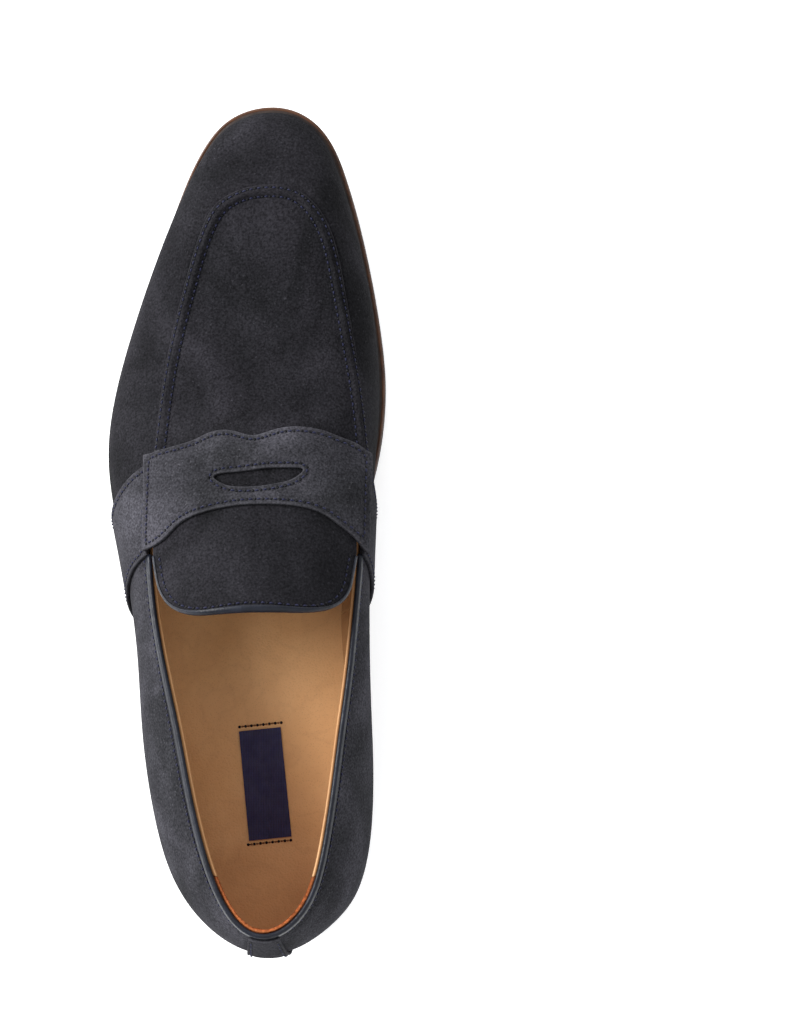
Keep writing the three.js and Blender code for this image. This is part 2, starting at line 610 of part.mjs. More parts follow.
/** What each piece is made of: colour, roughness, metalness. */
const FINISHES = {
  suede: [0x4a4a4f, 0.95, 0],
  binding: [0x34394a, 0.5, 0],
  lining: [0xa97b4c, 0.55, 0],
  grip: [0x8a4a24, 0.9, 0],
  label: [0x2f2f4a, 0.7, 0],
  welt: [0x7a4a34, 0.5, 0],
  sole: [0x4c3a34, 0.35, 0],
  rubber: [0x2a2624, 0.8, 0],
  board: [0xa9835a, 0.9, 0],
  cork: [0x9c7a50, 0.9, 0],
  steel: [0x9a9da2, 0.4, 1],
  stiffener: [0xcfc6b4, 0.95, 0],
};
const SMOOTHING = 0.07; // nearly flat neighbouring faces are joined within this distance
const HINGE = new THREE.Vector3(6, 144.8, 70); // the line that the tongue bends about, along X

/** One named piece of the shoe. */
function piece(name, solid, finish) {
  const { vertProperties, triVerts } = solid.simplify(SMOOTHING).getMesh();
  const geometry = new THREE.BufferGeometry();
  geometry.setAttribute("position", new THREE.Float32BufferAttribute(vertProperties, 3));
  geometry.setIndex(new THREE.Uint32BufferAttribute(triVerts, 1));
  const [color, roughness, metalness] = FINISHES[finish];
  const mesh = new THREE.Mesh(geometry, new THREE.MeshStandardMaterial({ color, roughness, metalness }));
  mesh.name = name;
  return mesh;
}

/** A named group of pieces. */
function assembly(name, ...pieces) {
  const group = new THREE.Group();
  group.name = name;
  group.add(...pieces);
  return group;
}

const [quarterLateral, quarterMedial] = quarters();
const [strapLateral, strapMedial] = straps();
const [vampLining, liningLateral, liningMedial, grip] = linings();
const [tongue, tongueLining, tongueBinding] = tonguePieces();

const upper = assembly("upper",
  piece("vamp_wall", vampWall(), "suede"),
  piece("apron", apron(), "suede"),
  piece("saddle_strap", saddle(), "suede"),
  piece("strap_wing_lateral", strapLateral, "suede"),
  piece("strap_wing_medial", strapMedial, "suede"),
  piece("quarter_lateral", quarterLateral, "suede"),
  piece("quarter_medial", quarterMedial, "suede"),
  piece("backstay", backstay(), "suede"),
  piece("topline_binding", toplineBinding(), "binding"),
  piece("toe_puff", toePuff(), "stiffener"),
  piece("heel_counter", heelCounter(), "stiffener"));

const lining = assembly("lining",
  piece("vamp_lining", vampLining, "lining"),
  piece("quarter_lining_lateral", liningLateral, "lining"),
  piece("quarter_lining_medial", liningMedial, "lining"),
  piece("heel_grip", grip, "grip"),
  piece("sock_liner", insideLayer(sockLow, sockHigh), "lining"),
  piece("label_patch", labelPatch(), "label"));

const bottom = assembly("bottom",
  piece("insole_board", insideLayer(insoleLow, insoleHigh).subtract(nailHoles), "board"),
  piece("cork_filler", corkFiller(), "cork"),
  piece("shank", shank(), "steel"),
  piece("welt", whole(rim.intersect(block(WELT_END, 330))), "welt"),
  piece("heel_rand", whole(rim.intersect(block(-20, WELT_END - WELT_NOTCH))), "sole"),
  piece("outsole", outsole(), "sole"),
  piece("forepart_tread", forepartTread(), "rubber"),
  piece("heel_lift_upper", heelLayer(TOP_PIECE_HEIGHT + LIFT_HEIGHT + 2 * GAP, 30), "sole"),
  piece("heel_lift_lower", heelLayer(TOP_PIECE_HEIGHT + GAP, TOP_PIECE_HEIGHT + GAP + LIFT_HEIGHT), "sole"),
  piece("heel_top_piece", topPiece(), "sole"),
  piece("heel_rubber_tip", heelTip(), "rubber"),
  ...NAILS.map((place, i) => piece(`heel_nail_${i + 1}`, nailSolid(place, 0), "steel")));

// The tongue's group stands on its hinge, so turning the group lifts the tongue.
const flap = assembly("tongue_flap",
  piece("tongue", tongue, "suede"),
  piece("tongue_lining", tongueLining, "lining"),
  piece("tongue_binding", tongueBinding, "binding"));
flap.position.copy(HINGE);
for (const part of flap.children) part.geometry.translate(-HINGE.x, -HINGE.y, -HINGE.z);

// The finished shoe stands with its footprint centred on the origin.
const shoe = assembly("penny_loafer", upper, lining, bottom, flap);
const centre = new THREE.Box3().setFromObject(shoe).getCenter(new THREE.Vector3());
shoe.position.set(-centre.x, -centre.y, 0);

export default shoe;
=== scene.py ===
"""Penny loafer, left shoe: the visible model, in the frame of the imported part.

The shape rules work in millimetres, with y counted from the back of the heel; in_frame()
turns them into the frame's metres. t runs round the shoe: 0 heel back, 1 toe, up the
little-toe side and back down the big-toe side to 2. w climbs the upper: 0 at the welt, 1 at
the top line or the apron seam, 2 on the middle line of the instep.
"""

import math

import bmesh
import bpy
import numpy as np
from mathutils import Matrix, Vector
from mathutils.geometry import delaunay_2d_cdt


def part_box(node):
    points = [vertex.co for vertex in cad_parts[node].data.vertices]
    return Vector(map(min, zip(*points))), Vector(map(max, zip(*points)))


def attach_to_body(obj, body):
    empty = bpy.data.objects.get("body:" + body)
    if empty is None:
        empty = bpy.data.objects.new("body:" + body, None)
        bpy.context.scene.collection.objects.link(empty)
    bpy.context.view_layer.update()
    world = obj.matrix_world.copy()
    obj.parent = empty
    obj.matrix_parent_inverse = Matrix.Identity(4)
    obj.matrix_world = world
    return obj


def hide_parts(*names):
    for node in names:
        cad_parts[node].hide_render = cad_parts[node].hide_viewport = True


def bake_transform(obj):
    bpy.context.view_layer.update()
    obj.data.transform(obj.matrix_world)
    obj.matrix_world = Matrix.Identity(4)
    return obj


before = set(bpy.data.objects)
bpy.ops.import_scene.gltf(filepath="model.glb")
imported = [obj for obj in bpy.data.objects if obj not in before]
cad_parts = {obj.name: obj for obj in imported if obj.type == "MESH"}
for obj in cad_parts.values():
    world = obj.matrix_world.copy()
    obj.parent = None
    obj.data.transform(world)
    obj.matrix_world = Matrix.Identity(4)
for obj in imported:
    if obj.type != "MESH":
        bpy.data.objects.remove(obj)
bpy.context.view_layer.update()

camera = bpy.data.objects.new("camera", bpy.data.cameras.new("camera"))
bpy.context.scene.collection.objects.link(camera)
bpy.context.scene.camera = camera
camera.location = (0.0555, 0.004, 0.887)
camera.data.lens = 82.2

# ------------------------------------------------------------------ driving dimensions

GAP = 0.3
AXIS_X = 10  # the heel back and the toe tip both lie on this line
LENGTH = 304
LINING = (-2.6, -1.7)  # layers of the upper, as distances from the outside of the quarters
UPPER = (-1.0, 0)
OVERLAY = (0.3, 1.6)
SADDLE = (1.9, 3.2)
BACKSTAY = (0.3, 1.4)
TONGUE_LINING = (-0.9, 0)
FEATHER_INSET = 2  # from the edge of the sole in to the upper
WELT_THICK = 3
WELT_END = 67
WELT_NOTCH = 0.4  # between the welt and the heel rand
TREAD_FROM = 152
TREAD_THICK = 1.9
RIB_PITCH = 1.5
RIB_DEPTH = 0.55
MOUTH_END = 162.5
BINDING_END = 142.8
GRIP_TO = 33
TIP_TO = 38
BREAST = ((42, 86.5), (-32, 92))  # front face of the heel, big-toe side first
BREAST_CHAMFER = 3
TOP_PIECE_HEIGHT = 5.7
LIFT_HEIGHT = 4.6
SOCK_TOP = 8.4  # above the welt
BINDING_THICK = 0.35
TONGUE_BINDING_THICK = 0.4
BINDING_FOLD = 2.1  # how far the folded binding shows on each side of an edge
TONGUE_BINDING_END = 143
BACKSTAY_WIDTH = 15
WING_TOP_INSET = -0.2  # the wings stop just outside the top line, under the saddle
QUARTER_DROP = 1.2  # the quarters end this far below the top line, inside the binding
LINING_EDGE_DROP = 0.4
LINING_FOOT = 0.04  # height w at which the lining starts
LINING_SEAM_BACK = 12  # from the seam of vamp and quarters back to the seam of their linings
STITCH_PITCH = 2.7
SEAM_INSET = 1.6  # stitching to the edge of a piece
SEAM_BELOW_FOLD = 0.9  # stitching to the edge of a binding
TOPLINE_ROW = (16, 141)  # the row under the top line's binding runs between these y
APRON_EDGE = 1.2  # the apron laps this far outside its seam
APRON_RIDGE = 1.5
RIDGE_FOOT = 0.25  # how high the leather stands beside the ridge, at the rows
APRON_RIDGE_WIDTH = 3.1  # between the two rows of stitches
RIDGE_SHARPNESS = 1.7
COLLAR_PAD = 3.4
STIFFENER_COVER = 0.8  # how far the lining stands in where it covers the counter or the toe puff
NAILS = 5


def unit(vectors):
    return vectors / np.linalg.norm(vectors, axis=-1, keepdims=True)


def to_left(ahead):
    """Plane directions turned a quarter to the left."""
    return np.column_stack([-ahead[:, 1], ahead[:, 0]])


def distance_along(path):
    """How far along a path each of its points lies."""
    return np.concatenate([[0], np.cumsum(np.linalg.norm(np.diff(path, axis=0), axis=1))])


def through(pairs):
    """The smooth curve y(x) through (x, y) pairs, straight beyond its ends."""
    x, y = np.array(pairs, float).T
    step = np.diff(x)
    slope = np.diff(y) / step
    last = len(x) - 1
    system = np.eye(last + 1)
    kink = np.zeros(last + 1)
    for i in range(1, last):
        system[i, i - 1 : i + 2] = step[i - 1], 2 * (step[i - 1] + step[i]), step[i]
        kink[i] = 6 * (slope[i] - slope[i - 1])
    bend = np.linalg.solve(system, kink)
    first_slope = slope[0] - step[0] * bend[1] / 6
    last_slope = slope[-1] + step[-1] * bend[-2] / 6

    def curve(at):
        at = np.asarray(at, float)
        i = np.clip(np.searchsorted(x, at, side="right") - 1, 0, last - 1)
        b = (at - x[i]) / step[i]
        a = 1 - b
        curl = (a**3 - a) * bend[i] + (b**3 - b) * bend[i + 1]
        inside = a * y[i] + b * y[i + 1] + curl * step[i] ** 2 / 6
        before = y[0] + (at - x[0]) * first_slope
        after = y[-1] + (at - x[-1]) * last_slope
        return np.where(at < x[0], before, np.where(at > x[-1], after, inside))

    return curve


class Outline:
    """A closed plan outline, called with t for (x, y)."""

    def __init__(self, back, front, lateral, medial):
        self.back = back
        self.front = front
        ring = [(0, AXIS_X)]
        ring += [(self.turn(y), x) for y, x in lateral]
        ring += [(1, AXIS_X)]
        ring += [(2 - self.turn(y), x) for y, x in reversed(medial)]
        self.across = through([(t + shift, x) for shift in (-2, 0, 2) for t, x in ring])

    def turn(self, y):
        """The t, on the little-toe side, at which the outline passes y."""
        share = (np.asarray(y, float) - self.back) / (self.front - self.back)
        return np.arccos(np.clip(1 - 2 * share, -1, 1)) / math.pi

    def __call__(self, t):
        t = np.asarray(t, float)
        y = self.back + (self.front - self.back) * (1 - np.cos(math.pi * t)) / 2
        return np.stack([self.across(t), y], -1)

    def inset(self, t, distance):
        """The outline moved inward, square to itself."""
        step = 1e-3
        along = unit(self(t + step) - self(t - step))
        return self(t) + np.stack([along[..., 1], -along[..., 0]], -1) * distance


# heights along the shoe
feather_z = through([(0, 24.3), (30, 23.2), (60, 22.5), (80, 22), (92, 20.8), (105, 18), (120, 13.8),
                     (135, 10.4), (150, 9.2), (170, 9.5), (190, 11), (210, 12.8), (230, 15), (250, 18.9),
                     (270, 24.4), (290, 30.8), (304, 33.6)])
sole_bottom_z = through([(0, 15.9), (70, 15.9), (82, 15.6), (94, 13.1), (110, 9.7), (130, 5), (150, 1.9),
                         (162, 0.5), (172, 0), (185, 0.3), (200, 1.5), (230, 5), (250, 9.5), (270, 15.2),
                         (290, 22.3), (304, 26.4)])
sole_edge_rise = through([(0, 0), (95, 0), (130, 1), (160, 2.3), (180, 3.1), (200, 3.5), (220, 3), (240, 1.6),
                          (260, 0.5), (304, 0)])
topline_z = through([(13, 89.6), (40, 84), (80, 75.2), (110, 68.8), (135, 63), (155, 58.3), (175, 53.3),
                     (200, 48.6), (222, 46.4), (240, 46.8), (256, 48.8), (274, 49.4)])
ridge_z = through([(14, 92), (30, 104), (60, 107), (90, 102), (118, 92.5), (130, 87.6), (140, 83), (150, 78),
                   (160, 72.8), (170, 68.2), (180, 64.2), (190, 60.3), (205, 54.6), (220, 50.6), (235, 49),
                   (255, 49.6), (274, 49.3)])
bulge_z = through([(0, 50), (60, 47), (110, 42), (150, 38), (200, 35.5), (250, 39), (294, 43.5)])

# plan outlines as (y, x) down each side, little-toe side first
sole = Outline(3.7, LENGTH,
    [(12, -9.5), (25, -18), (45, -22.5), (70, -25), (95, -29.5), (120, -37), (145, -45), (165, -50),
     (178, -51), (200, -48), (221.8, -42), (243.5, -35), (264.6, -27), (278.5, -21), (292.2, -13),
     (299.2, -6)],
    [(12, 29.5), (25, 38.5), (45, 42.5), (70, 40.5), (95, 35.5), (115, 33.5), (135, 36), (155, 42),
     (175, 47.6), (190, 50), (206, 50.6), (221.8, 49.2), (243.5, 45.6), (264.6, 40.8), (278.5, 36.7),
     (292.2, 30.8), (299.2, 24.5)])
bulge = Outline(1.5, 294.5,
    [(10, -10.5), (20, -19.5), (30, -25), (50, -31), (80, -35.6), (110, -38.2), (140, -43), (155, -45.7),
     (175, -47.9), (200, -45.2), (222, -39.4), (243, -32.3), (264, -23.8), (278, -16.5), (289, -7)],
    [(10, 30), (20, 39), (30, 43), (50, 46), (70, 46.6), (100, 45.4), (130, 45), (155, 46.2), (175, 47),
     (190, 47.5), (206, 47.4), (222, 46.3), (243, 42.8), (264, 37.5), (278, 32), (289, 24.5)])
topline = Outline(13.9, 273.9,
    [(17.5, 1.5), (27, -5.2), (45.3, -11.9), (64, -16.5), (82.8, -20.5), (101.8, -25.1), (121, -29.1),
     (140.3, -31.3), (160, -31.6), (180, -29.6), (204.3, -26.8), (224.2, -23.7), (241.9, -20), (255.5, -15.6),
     (266.3, -8.9), (272, -1.5)],
    [(17.5, 19), (27, 26), (45.3, 30.8), (64, 33.6), (82.8, 36), (101.8, 38.6), (121, 40.6), (140.3, 42.3),
     (160, 43.4), (180, 43.4), (204.3, 41.2), (224.2, 38.9), (243.8, 36.1), (255.5, 33.2), (266.3, 27.6),
     (272, 20.5)])

# side-view lines, as z to y
vamp_seam = through([(-30, 128), (18, 131), (30, 136), (42, 142), (54, 148), (68, 152), (130, 156)])
strap_rear = through([(-30, 105), (17, 112), (24, 116.5), (33, 122.5), (42, 129), (52, 136.5), (63, 143.5),
                      (130, 143.5)])
strap_front = through([(-30, 140), (10, 146), (20, 150), (29, 155), (41, 162.5), (48, 169.5), (54, 176.5),
                       (62, 184), (130, 190)])

# plan edges of the pieces on the instep, as (x, y)
SADDLE_REAR = [(-32, 143.6), (-24.1, 147.6), (-19.3, 152.4), (-9.6, 156.8), (0, 158.7), (9.6, 159.2),
               (19.2, 158.7), (28.9, 155.9), (33.8, 152.4), (38.7, 148.3), (43, 142.6)]
SADDLE_FRONT = [(44.4, 177.5), (39.1, 181.3), (34.1, 183.2), (29.2, 185.1), (24.3, 186.2), (19.4, 186.5),
                (14.6, 186), (9.7, 184.5), (4.8, 183.3), (0, 184.5), (-4.9, 185.3), (-9.7, 184.4),
                (-14.6, 182.1), (-19.5, 180.5), (-24.4, 179.3), (-29.4, 177.9), (-32.4, 176)]
SLIT = [(-7.7, 168.6), (0, 170.5), (9.7, 171.8), (19.3, 172), (21.8, 171.6), (19.3, 168.6), (14.5, 166.7),
        (9.6, 165.7), (4.8, 165.2), (0, 165.2), (-3.9, 166)]
TONGUE_EDGE = [(-29.6, 143), (-28.3, 136), (-26.2, 129.5), (-22, 124.6), (-15, 122.3), (-6, 122.7),
               (6, 123.5), (18, 123.3), (28, 123.3), (34, 125), (37.4, 128.4), (39.5, 135.5), (40.9, 143)]
TONGUE_ROOT = [(40.8, 149.5), (36.5, 155), (26, 159.5), (6, 161.7), (-14, 159.5), (-25, 155), (-29.6, 149.5)]
LABEL = [(1.5, 38.4), (16.9, 40), (12.9, 79.6), (-2.2, 78)]
TONGUE_MIDDLE = np.array([6, 144])
APRON_SEAM = [(-26.6, 173), (-25.9, 179.4), (-23.9, 199.2), (-20.7, 219), (-15.8, 238.8), (-9.3, 258.3),
              (-6.4, 263.2), (1.5, 268.1), (9.8, 269.4), (17.7, 268.1), (23.6, 263.2), (26.6, 258.3),
              (31.8, 238.8), (35.2, 219), (38.3, 199.2), (39.9, 184.3), (40.6, 175)]

# ------------------------------------------------------------------ the surface of the upper

CAP_POWER = 2.1  # how squarely the instep arches over
FAN_Y = 256  # ahead of this the top of the toe fans out from one point
WALL_RISE = 50  # drawn height of the wall in its unrolled pattern
LAP_REACH = 38  # plan distance that a lap over the apron seam takes to reach the welt
LOWEST_W = -0.2  # the wall is known down to here, a little below the welt
TINY = 1e-9


def bent(low, pull, high, v):
    """The point at v on the curve from low to high that bends towards pull."""
    return low * (1 - v) ** 2 + 2 * pull * v * (1 - v) + high * v**2


def with_height(plan, height):
    return np.column_stack([plan, height])


def wall(t, v):
    """The side of the upper: v = 0 at the welt, 1 at the top line or the apron seam."""
    low = sole.inset(t, FEATHER_INSET)
    middle = bulge(t)
    high = topline(t)
    plan = bent(low, 2 * middle - low / 2 - high / 2, high, v[:, None])
    height = bent(feather_z(low[:, 1]) + GAP, bulge_z(middle[:, 1]), topline_z(high[:, 1]), v)
    return with_height(plan, height)


def spine(y):
    """The plan x of the middle line of the instep."""
    t = topline.turn(y)
    return (topline.across(t) + topline.across(2 - t)) / 2


def cap(t, s):
    """The top of the upper: s = 1 on the apron seam, 0 along the middle."""
    edge = topline(t)
    spine_y = np.minimum(edge[:, 1], FAN_Y)
    middle = np.column_stack([spine(spine_y), spine_y])
    top = ridge_z(spine_y)
    height = top + (topline_z(edge[:, 1]) - top) * np.abs(s) ** CAP_POWER
    return with_height(middle + (edge - middle) * s[:, None], height)


def skin(t, w):
    """The outside of the quarters and vamp."""
    side = wall(t, np.clip(w, LOWEST_W, 1))
    over = cap(t, 2 - np.maximum(w, 1))
    return np.where((w > 1)[:, None], over, side)


PATTERN_T = np.linspace(-1, 3, 2001)
PATTERN_ARC = distance_along(bulge(PATTERN_T))
PATTERN_ARC -= np.interp(0, PATTERN_T, PATTERN_ARC)


def on_pattern(t, w):
    """A place on the wall in its unrolled pattern, where a runs round the shoe and b up it."""
    t, w = np.broadcast_arrays(np.asarray(t, float), np.asarray(w, float))
    return np.column_stack([-np.interp(t, PATTERN_T, PATTERN_ARC), w * WALL_RISE])


def from_pattern(p):
    """Pattern places to points on the upper."""
    return skin(np.interp(-p[:, 0], PATTERN_ARC, PATTERN_T), p[:, 1] / WALL_RISE)


FAN_FROM = float(topline.turn(FAN_Y))
FAN_T = np.linspace(FAN_FROM, 2 - FAN_FROM, 241)
FAN_CENTRE = np.array([float(spine(FAN_Y)), FAN_Y])
FAN_ANGLE = np.arctan2(*(topline(FAN_T) - FAN_CENTRE).T)


def from_plan(p):
    """Plan places on the instep to points on the upper; beyond the seam they run down the wall."""
    x, y = p.T
    spine_y = np.minimum(y, FAN_Y)
    middle = spine(spine_y)
    turn = topline.turn(spine_y)
    fanned = np.interp(np.arctan2(x - FAN_CENTRE[0], np.maximum(y - FAN_Y, TINY)), FAN_ANGLE, FAN_T)
    t = np.where(y > FAN_Y, fanned, np.where(x < middle, turn, 2 - turn))
    centre = np.column_stack([middle, spine_y])
    reach = np.linalg.norm(topline(t) - centre, axis=1)
    s = np.linalg.norm(p - centre, axis=1) / reach
    return skin(t, np.where(s > 1, 1 - (s - 1) * reach / LAP_REACH, 2 - s))


def facing(place, p):
    """Outward directions at 2-D places, from the points a step to each side of them."""
    step = 0.7
    along = place(p + [step, 0]) - place(p - [step, 0])
    up = place(p + [0, step]) - place(p - [0, step])
    out = np.cross(along, up)
    return out / np.maximum(np.linalg.norm(out, axis=1, keepdims=True), TINY)


# ------------------------------------------------------------------ plane outlines

CURVE_SPACING = 1.0
SLIT_SPACING = 0.7
CLEAN_SHARE = 0.97  # a drawn-in point nearer its outline than this share belongs to a loop


def curve_through(points, run, at):
    """A smooth plane curve, at distances at, through points that lie at distances run."""
    return np.column_stack([through(np.column_stack([run, points[:, k]]))(at) for k in (0, 1)])


def smooth(pairs):
    """A smooth open curve through plane points."""
    points = np.array(pairs, float)
    run = distance_along(points)
    at = np.linspace(0, run[-1], int(run[-1] / CURVE_SPACING) + 1)
    return curve_through(points, run, at)


def smooth_closed(pairs):
    """A smooth closed curve through plane points, a few of them repeated to round its join."""
    points = np.array(pairs, float)
    lead = 3
    around = np.concatenate([points[-lead:], points, points[:lead + 1]])
    run = distance_along(around)
    start, finish = run[lead], run[lead + len(points)]
    at = np.linspace(start, finish, int((finish - start) / SLIT_SPACING) + 1)[:-1]
    return curve_through(around, run, at)


def closed(path):
    """A path that ends at its first point."""
    return np.concatenate([path, path[:1]])


def spaced(path, pitch):
    """Points along a path at an even pitch."""
    run = distance_along(path)
    at = np.linspace(0, run[-1], round(run[-1] / pitch) + 1)
    return np.column_stack([np.interp(at, run, path[:, k]) for k in (0, 1)])


def cornered(loop, spacing):
    """A closed outline with its corners kept and no side longer than spacing."""
    nearest = spacing / 4
    points = []
    for a, b in zip(loop, np.roll(loop, -1, axis=0)):
        parts = max(1, math.ceil(np.linalg.norm(b - a) / spacing))
        points += [a + (b - a) * k / parts for k in range(parts)]
    kept = [points[0]]
    for point in points[1:]:
        if min(np.linalg.norm(point - kept[-1]), np.linalg.norm(point - kept[0])) > nearest:
            kept.append(point)
    return np.array(kept)


def turns_left(loop):
    x, y = loop.T
    return np.sum(x * np.roll(y, -1) - y * np.roll(x, -1)) > 0


def drawn_in(loop, distance):
    """A closed outline moved inward, without the loops that a tight corner would make."""
    ahead = unit(np.roll(loop, -1, axis=0) - np.roll(loop, 1, axis=0))
    inward = to_left(ahead) * (1 if turns_left(loop) else -1)
    moved = loop + inward * distance
    return moved[to_outline(moved, loop) > CLEAN_SHARE * abs(distance)]


def moved_left(path, distance):
    """An open path moved sideways, to the left of its direction."""
    return path + to_left(unit(np.gradient(path, axis=0))) * distance


def to_path(points, path):
    """Distance from points to the nearest side of an open path."""
    nearest = np.full(len(points), np.inf)
    for a, b in zip(path, path[1:]):
        side = b - a
        share = np.clip(((points - a) @ side) / max(side @ side, TINY), 0, 1)
        nearest = np.minimum(nearest, np.hypot(*(points - a - share[:, None] * side).T))
    return nearest


def to_outline(points, *loops):
    """Distance from points to the nearest side of closed outlines."""
    return np.min([to_path(points, closed(loop)) for loop in loops], axis=0)


def is_inside(points, *loops):
    """Whether points lie inside the first outline and outside the others."""
    x, y = points.T
    odd = np.zeros(len(points), bool)
    for loop in loops:
        for (ax, ay), (bx, by) in zip(loop, np.roll(loop, -1, axis=0)):
            if ay != by:
                odd ^= ((ay > y) != (by > y)) & (x < (bx - ax) * (y - ay) / (by - ay) + ax)
    return odd


# ------------------------------------------------------------------ meshes

FIRST_NAIL = Vector((0.010, 0.024, 0))  # its drawn place in metres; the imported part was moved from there
FRAME_SHIFT = sum(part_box("heel_nail_1"), Vector()) / 2 - FIRST_NAIL
EDGE_RINGS = (0.12, 0.3, 0.6, 1.1)  # rows of points inside a cut edge, close enough to round it
RING_SHARE = 0.9  # of such a row's inset that its points have to keep from every outline
GRID_ROW = 0.866  # height of an equilateral triangle
GRID_CLEAR = 0.55  # from the last ring to the grid inside it, as a share of the spacing
LONGEST_SIDE = 1.0
LONGEST_PLATE_SIDE = 1.5
MAX_ROUNDING = 0.96  # of a sheet's thickness
RELIEF_RISE = 0.6  # relief grows from nothing to its whole height over this width at an edge
WEAR_WIDTH = 2.5  # the leather is rubbed this far in from an edge
PLATE_CORNER = 50  # degrees above which an edge of a plate is sharp


def in_frame(points):
    """Drawn millimetres to the frame's metres."""
    return np.asarray(points) / 1000 + [FRAME_SHIFT.x, FRAME_SHIFT.y, 0]


def mesh_object(name, points, faces, finishes, finish_of_face, wear=None):
    """A shaded mesh piece of drawn points. wear runs from 0 on an edge to 1 inside it."""
    mesh = bpy.data.meshes.new(name)
    mesh.from_pydata(in_frame(points).tolist(), [], [list(map(int, face)) for face in faces])
    for finish in finishes:
        mesh.materials.append(finish)
    mesh.shade_smooth()
    mesh.polygons.foreach_set("material_index", np.asarray(finish_of_face, np.int32))
    if wear is not None:
        mesh.attributes.new("wear", "FLOAT", "POINT").data.foreach_set("value", wear.astype(np.float32))
    mesh.validate()
    obj = bpy.data.objects.new(name, mesh)
    bpy.context.scene.collection.objects.link(obj)
    return obj


def filled(loops, spacing, rings):
    """Triangles that fill outlines: (points, triangles, point numbers of each outline)."""
    starts = np.cumsum([0] + [len(loop) for loop in loops])
    runs = [np.arange(start, finish) for start, finish in zip(starts, starts[1:])]
    sides = [side for run in runs for side in zip(run.tolist(), np.roll(run, -1).tolist())]
    extra = []
    for inset in rings:
        for i, loop in enumerate(loops):
            ring = drawn_in(loop, inset if i == 0 else -inset)
            extra.append(ring[to_outline(ring, *loops) > RING_SHARE * inset])
    edge_points = np.concatenate(loops)
    low, high = edge_points.min(0), edge_points.max(0)
    across = np.arange(low[0], high[0], spacing)
    along = np.arange(low[1], high[1], spacing * GRID_ROW)
    grid = np.array([(x + (j % 2) * spacing / 2, y) for j, y in enumerate(along) for x in across])
    grid = grid[is_inside(grid, *loops)]
    grid = grid[to_outline(grid, *loops) > rings[-1] + GRID_CLEAR * spacing]
    points = np.concatenate([edge_points, *extra, grid])
    found, _, triangles, sources, _, _ = delaunay_2d_cdt([Vector(p) for p in points], sides, [], 0, 1e-5)
    plane = np.array([tuple(p) for p in found])
    triangles = np.array(triangles)
    home = {source: i for i, several in enumerate(sources) for source in several}
    runs = [np.array([home[i] for i in run]) for run in runs]
    kept = is_inside(plane[triangles].mean(1), *(plane[run] for run in runs))
    return plane, triangles[kept], runs


def two_sided(triangles, count):
    """Triangles as faces, and the same turned over on the points numbered count higher."""
    return [tuple(face) for face in triangles] + [tuple(face[::-1] + count) for face in triangles]


def band(under, over):
    """Faces between two closed rows of point numbers."""
    return list(zip(under, np.roll(under, -1), np.roll(over, -1), over))


def tube(count, size):
    """Faces of a closed skin over count sections of size points."""
    index = np.arange(count * size).reshape(count, size)
    faces = [face for near, far in zip(index, index[1:]) for face in band(near, far)]
    return faces + [tuple(index[0][::-1]), tuple(index[-1])]


def rolled(distance, radius):
    """How far a rounded edge drops, at a distance from the cut."""
    near = np.clip(distance / radius, 0, 1)
    return radius * (1 - np.sqrt(np.maximum(0, 1 - (1 - near) ** 2)))


def flat(plane):
    """No relief or padding at plane places."""
    return np.zeros(len(plane))


def panel(name, place, loops, layer, finishes, relief=flat, spacing=1.3, padding=flat,
          edge_radius=0.45):
    """A closed sheet of leather cut to plane outlines, between two distances from the upper.

    The last of its finishes is on the cut edge.
    """
    inner, outer = layer
    loops = [cornered(loop, min(spacing, LONGEST_SIDE)) for loop in loops]
    plane, triangles, runs = filled(loops, spacing, EDGE_RINGS)
    edge = to_outline(plane, *loops)
    base = place(plane)
    out = facing(place, plane)
    height = outer - rolled(edge, min(edge_radius, MAX_ROUNDING * (outer - inner)))
    height = height + relief(plane) * np.clip(edge / RELIEF_RISE, 0, 1)
    depth = inner - padding(plane)
    points = np.concatenate([base + out * height[:, None], base + out * depth[:, None]])
    count = len(plane)
    faces = two_sided(triangles, count)
    for i, run in enumerate(runs):
        ordered = run if turns_left(plane[run]) == (i == 0) else run[::-1]
        faces += band(ordered + count, ordered)
    finish_of_face = np.zeros(len(faces), int)
    finish_of_face[2 * len(triangles):] = len(finishes) - 1
    wear = np.concatenate([np.clip(edge / WEAR_WIDTH, 0, 1), np.ones(count)])
    return mesh_object(name, points, faces, finishes, finish_of_face, wear)


def square(k, share):
    """A plate's rim without any shape."""
    return 0


def plate(name, loop, low, high, finish, spacing, rim_rows, rim=square):
    """A solid slab of a plan outline between two height rules.

    rim gives how far row k of the rim, at a share of its height, stands out.
    """
    loop = cornered(loop, min(spacing, LONGEST_PLATE_SIDE))
    plane, triangles, (run,) = filled([loop], spacing, [0.5])
    run = run if turns_left(plane[run]) else run[::-1]
    corner = plane[run]
    outward = -to_left(unit(np.roll(corner, -1, axis=0) - np.roll(corner, 1, axis=0)))
    top = high(*plane.T)
    bottom = low(*plane.T)
    rows = []
    for k in range(rim_rows):
        share = (k + 0.5) / rim_rows
        height = bottom[run] + (top[run] - bottom[run]) * share
        rows.append(with_height(corner + outward * rim(k, share), height))
    points = np.concatenate([with_height(plane, top), with_height(plane, bottom), *rows])
    count = len(plane)
    faces = two_sided(triangles, count)
    ladder = [run + count]
    ladder += [2 * count + k * len(run) + np.arange(len(run)) for k in range(rim_rows)]
    ladder += [run]
    for under, over in zip(ladder, ladder[1:]):
        faces += band(under, over)
    obj = mesh_object(name, points, faces, [finish], np.zeros(len(faces)))
    obj.data.set_sharp_from_angle(angle=math.radians(PLATE_CORNER))
    return obj


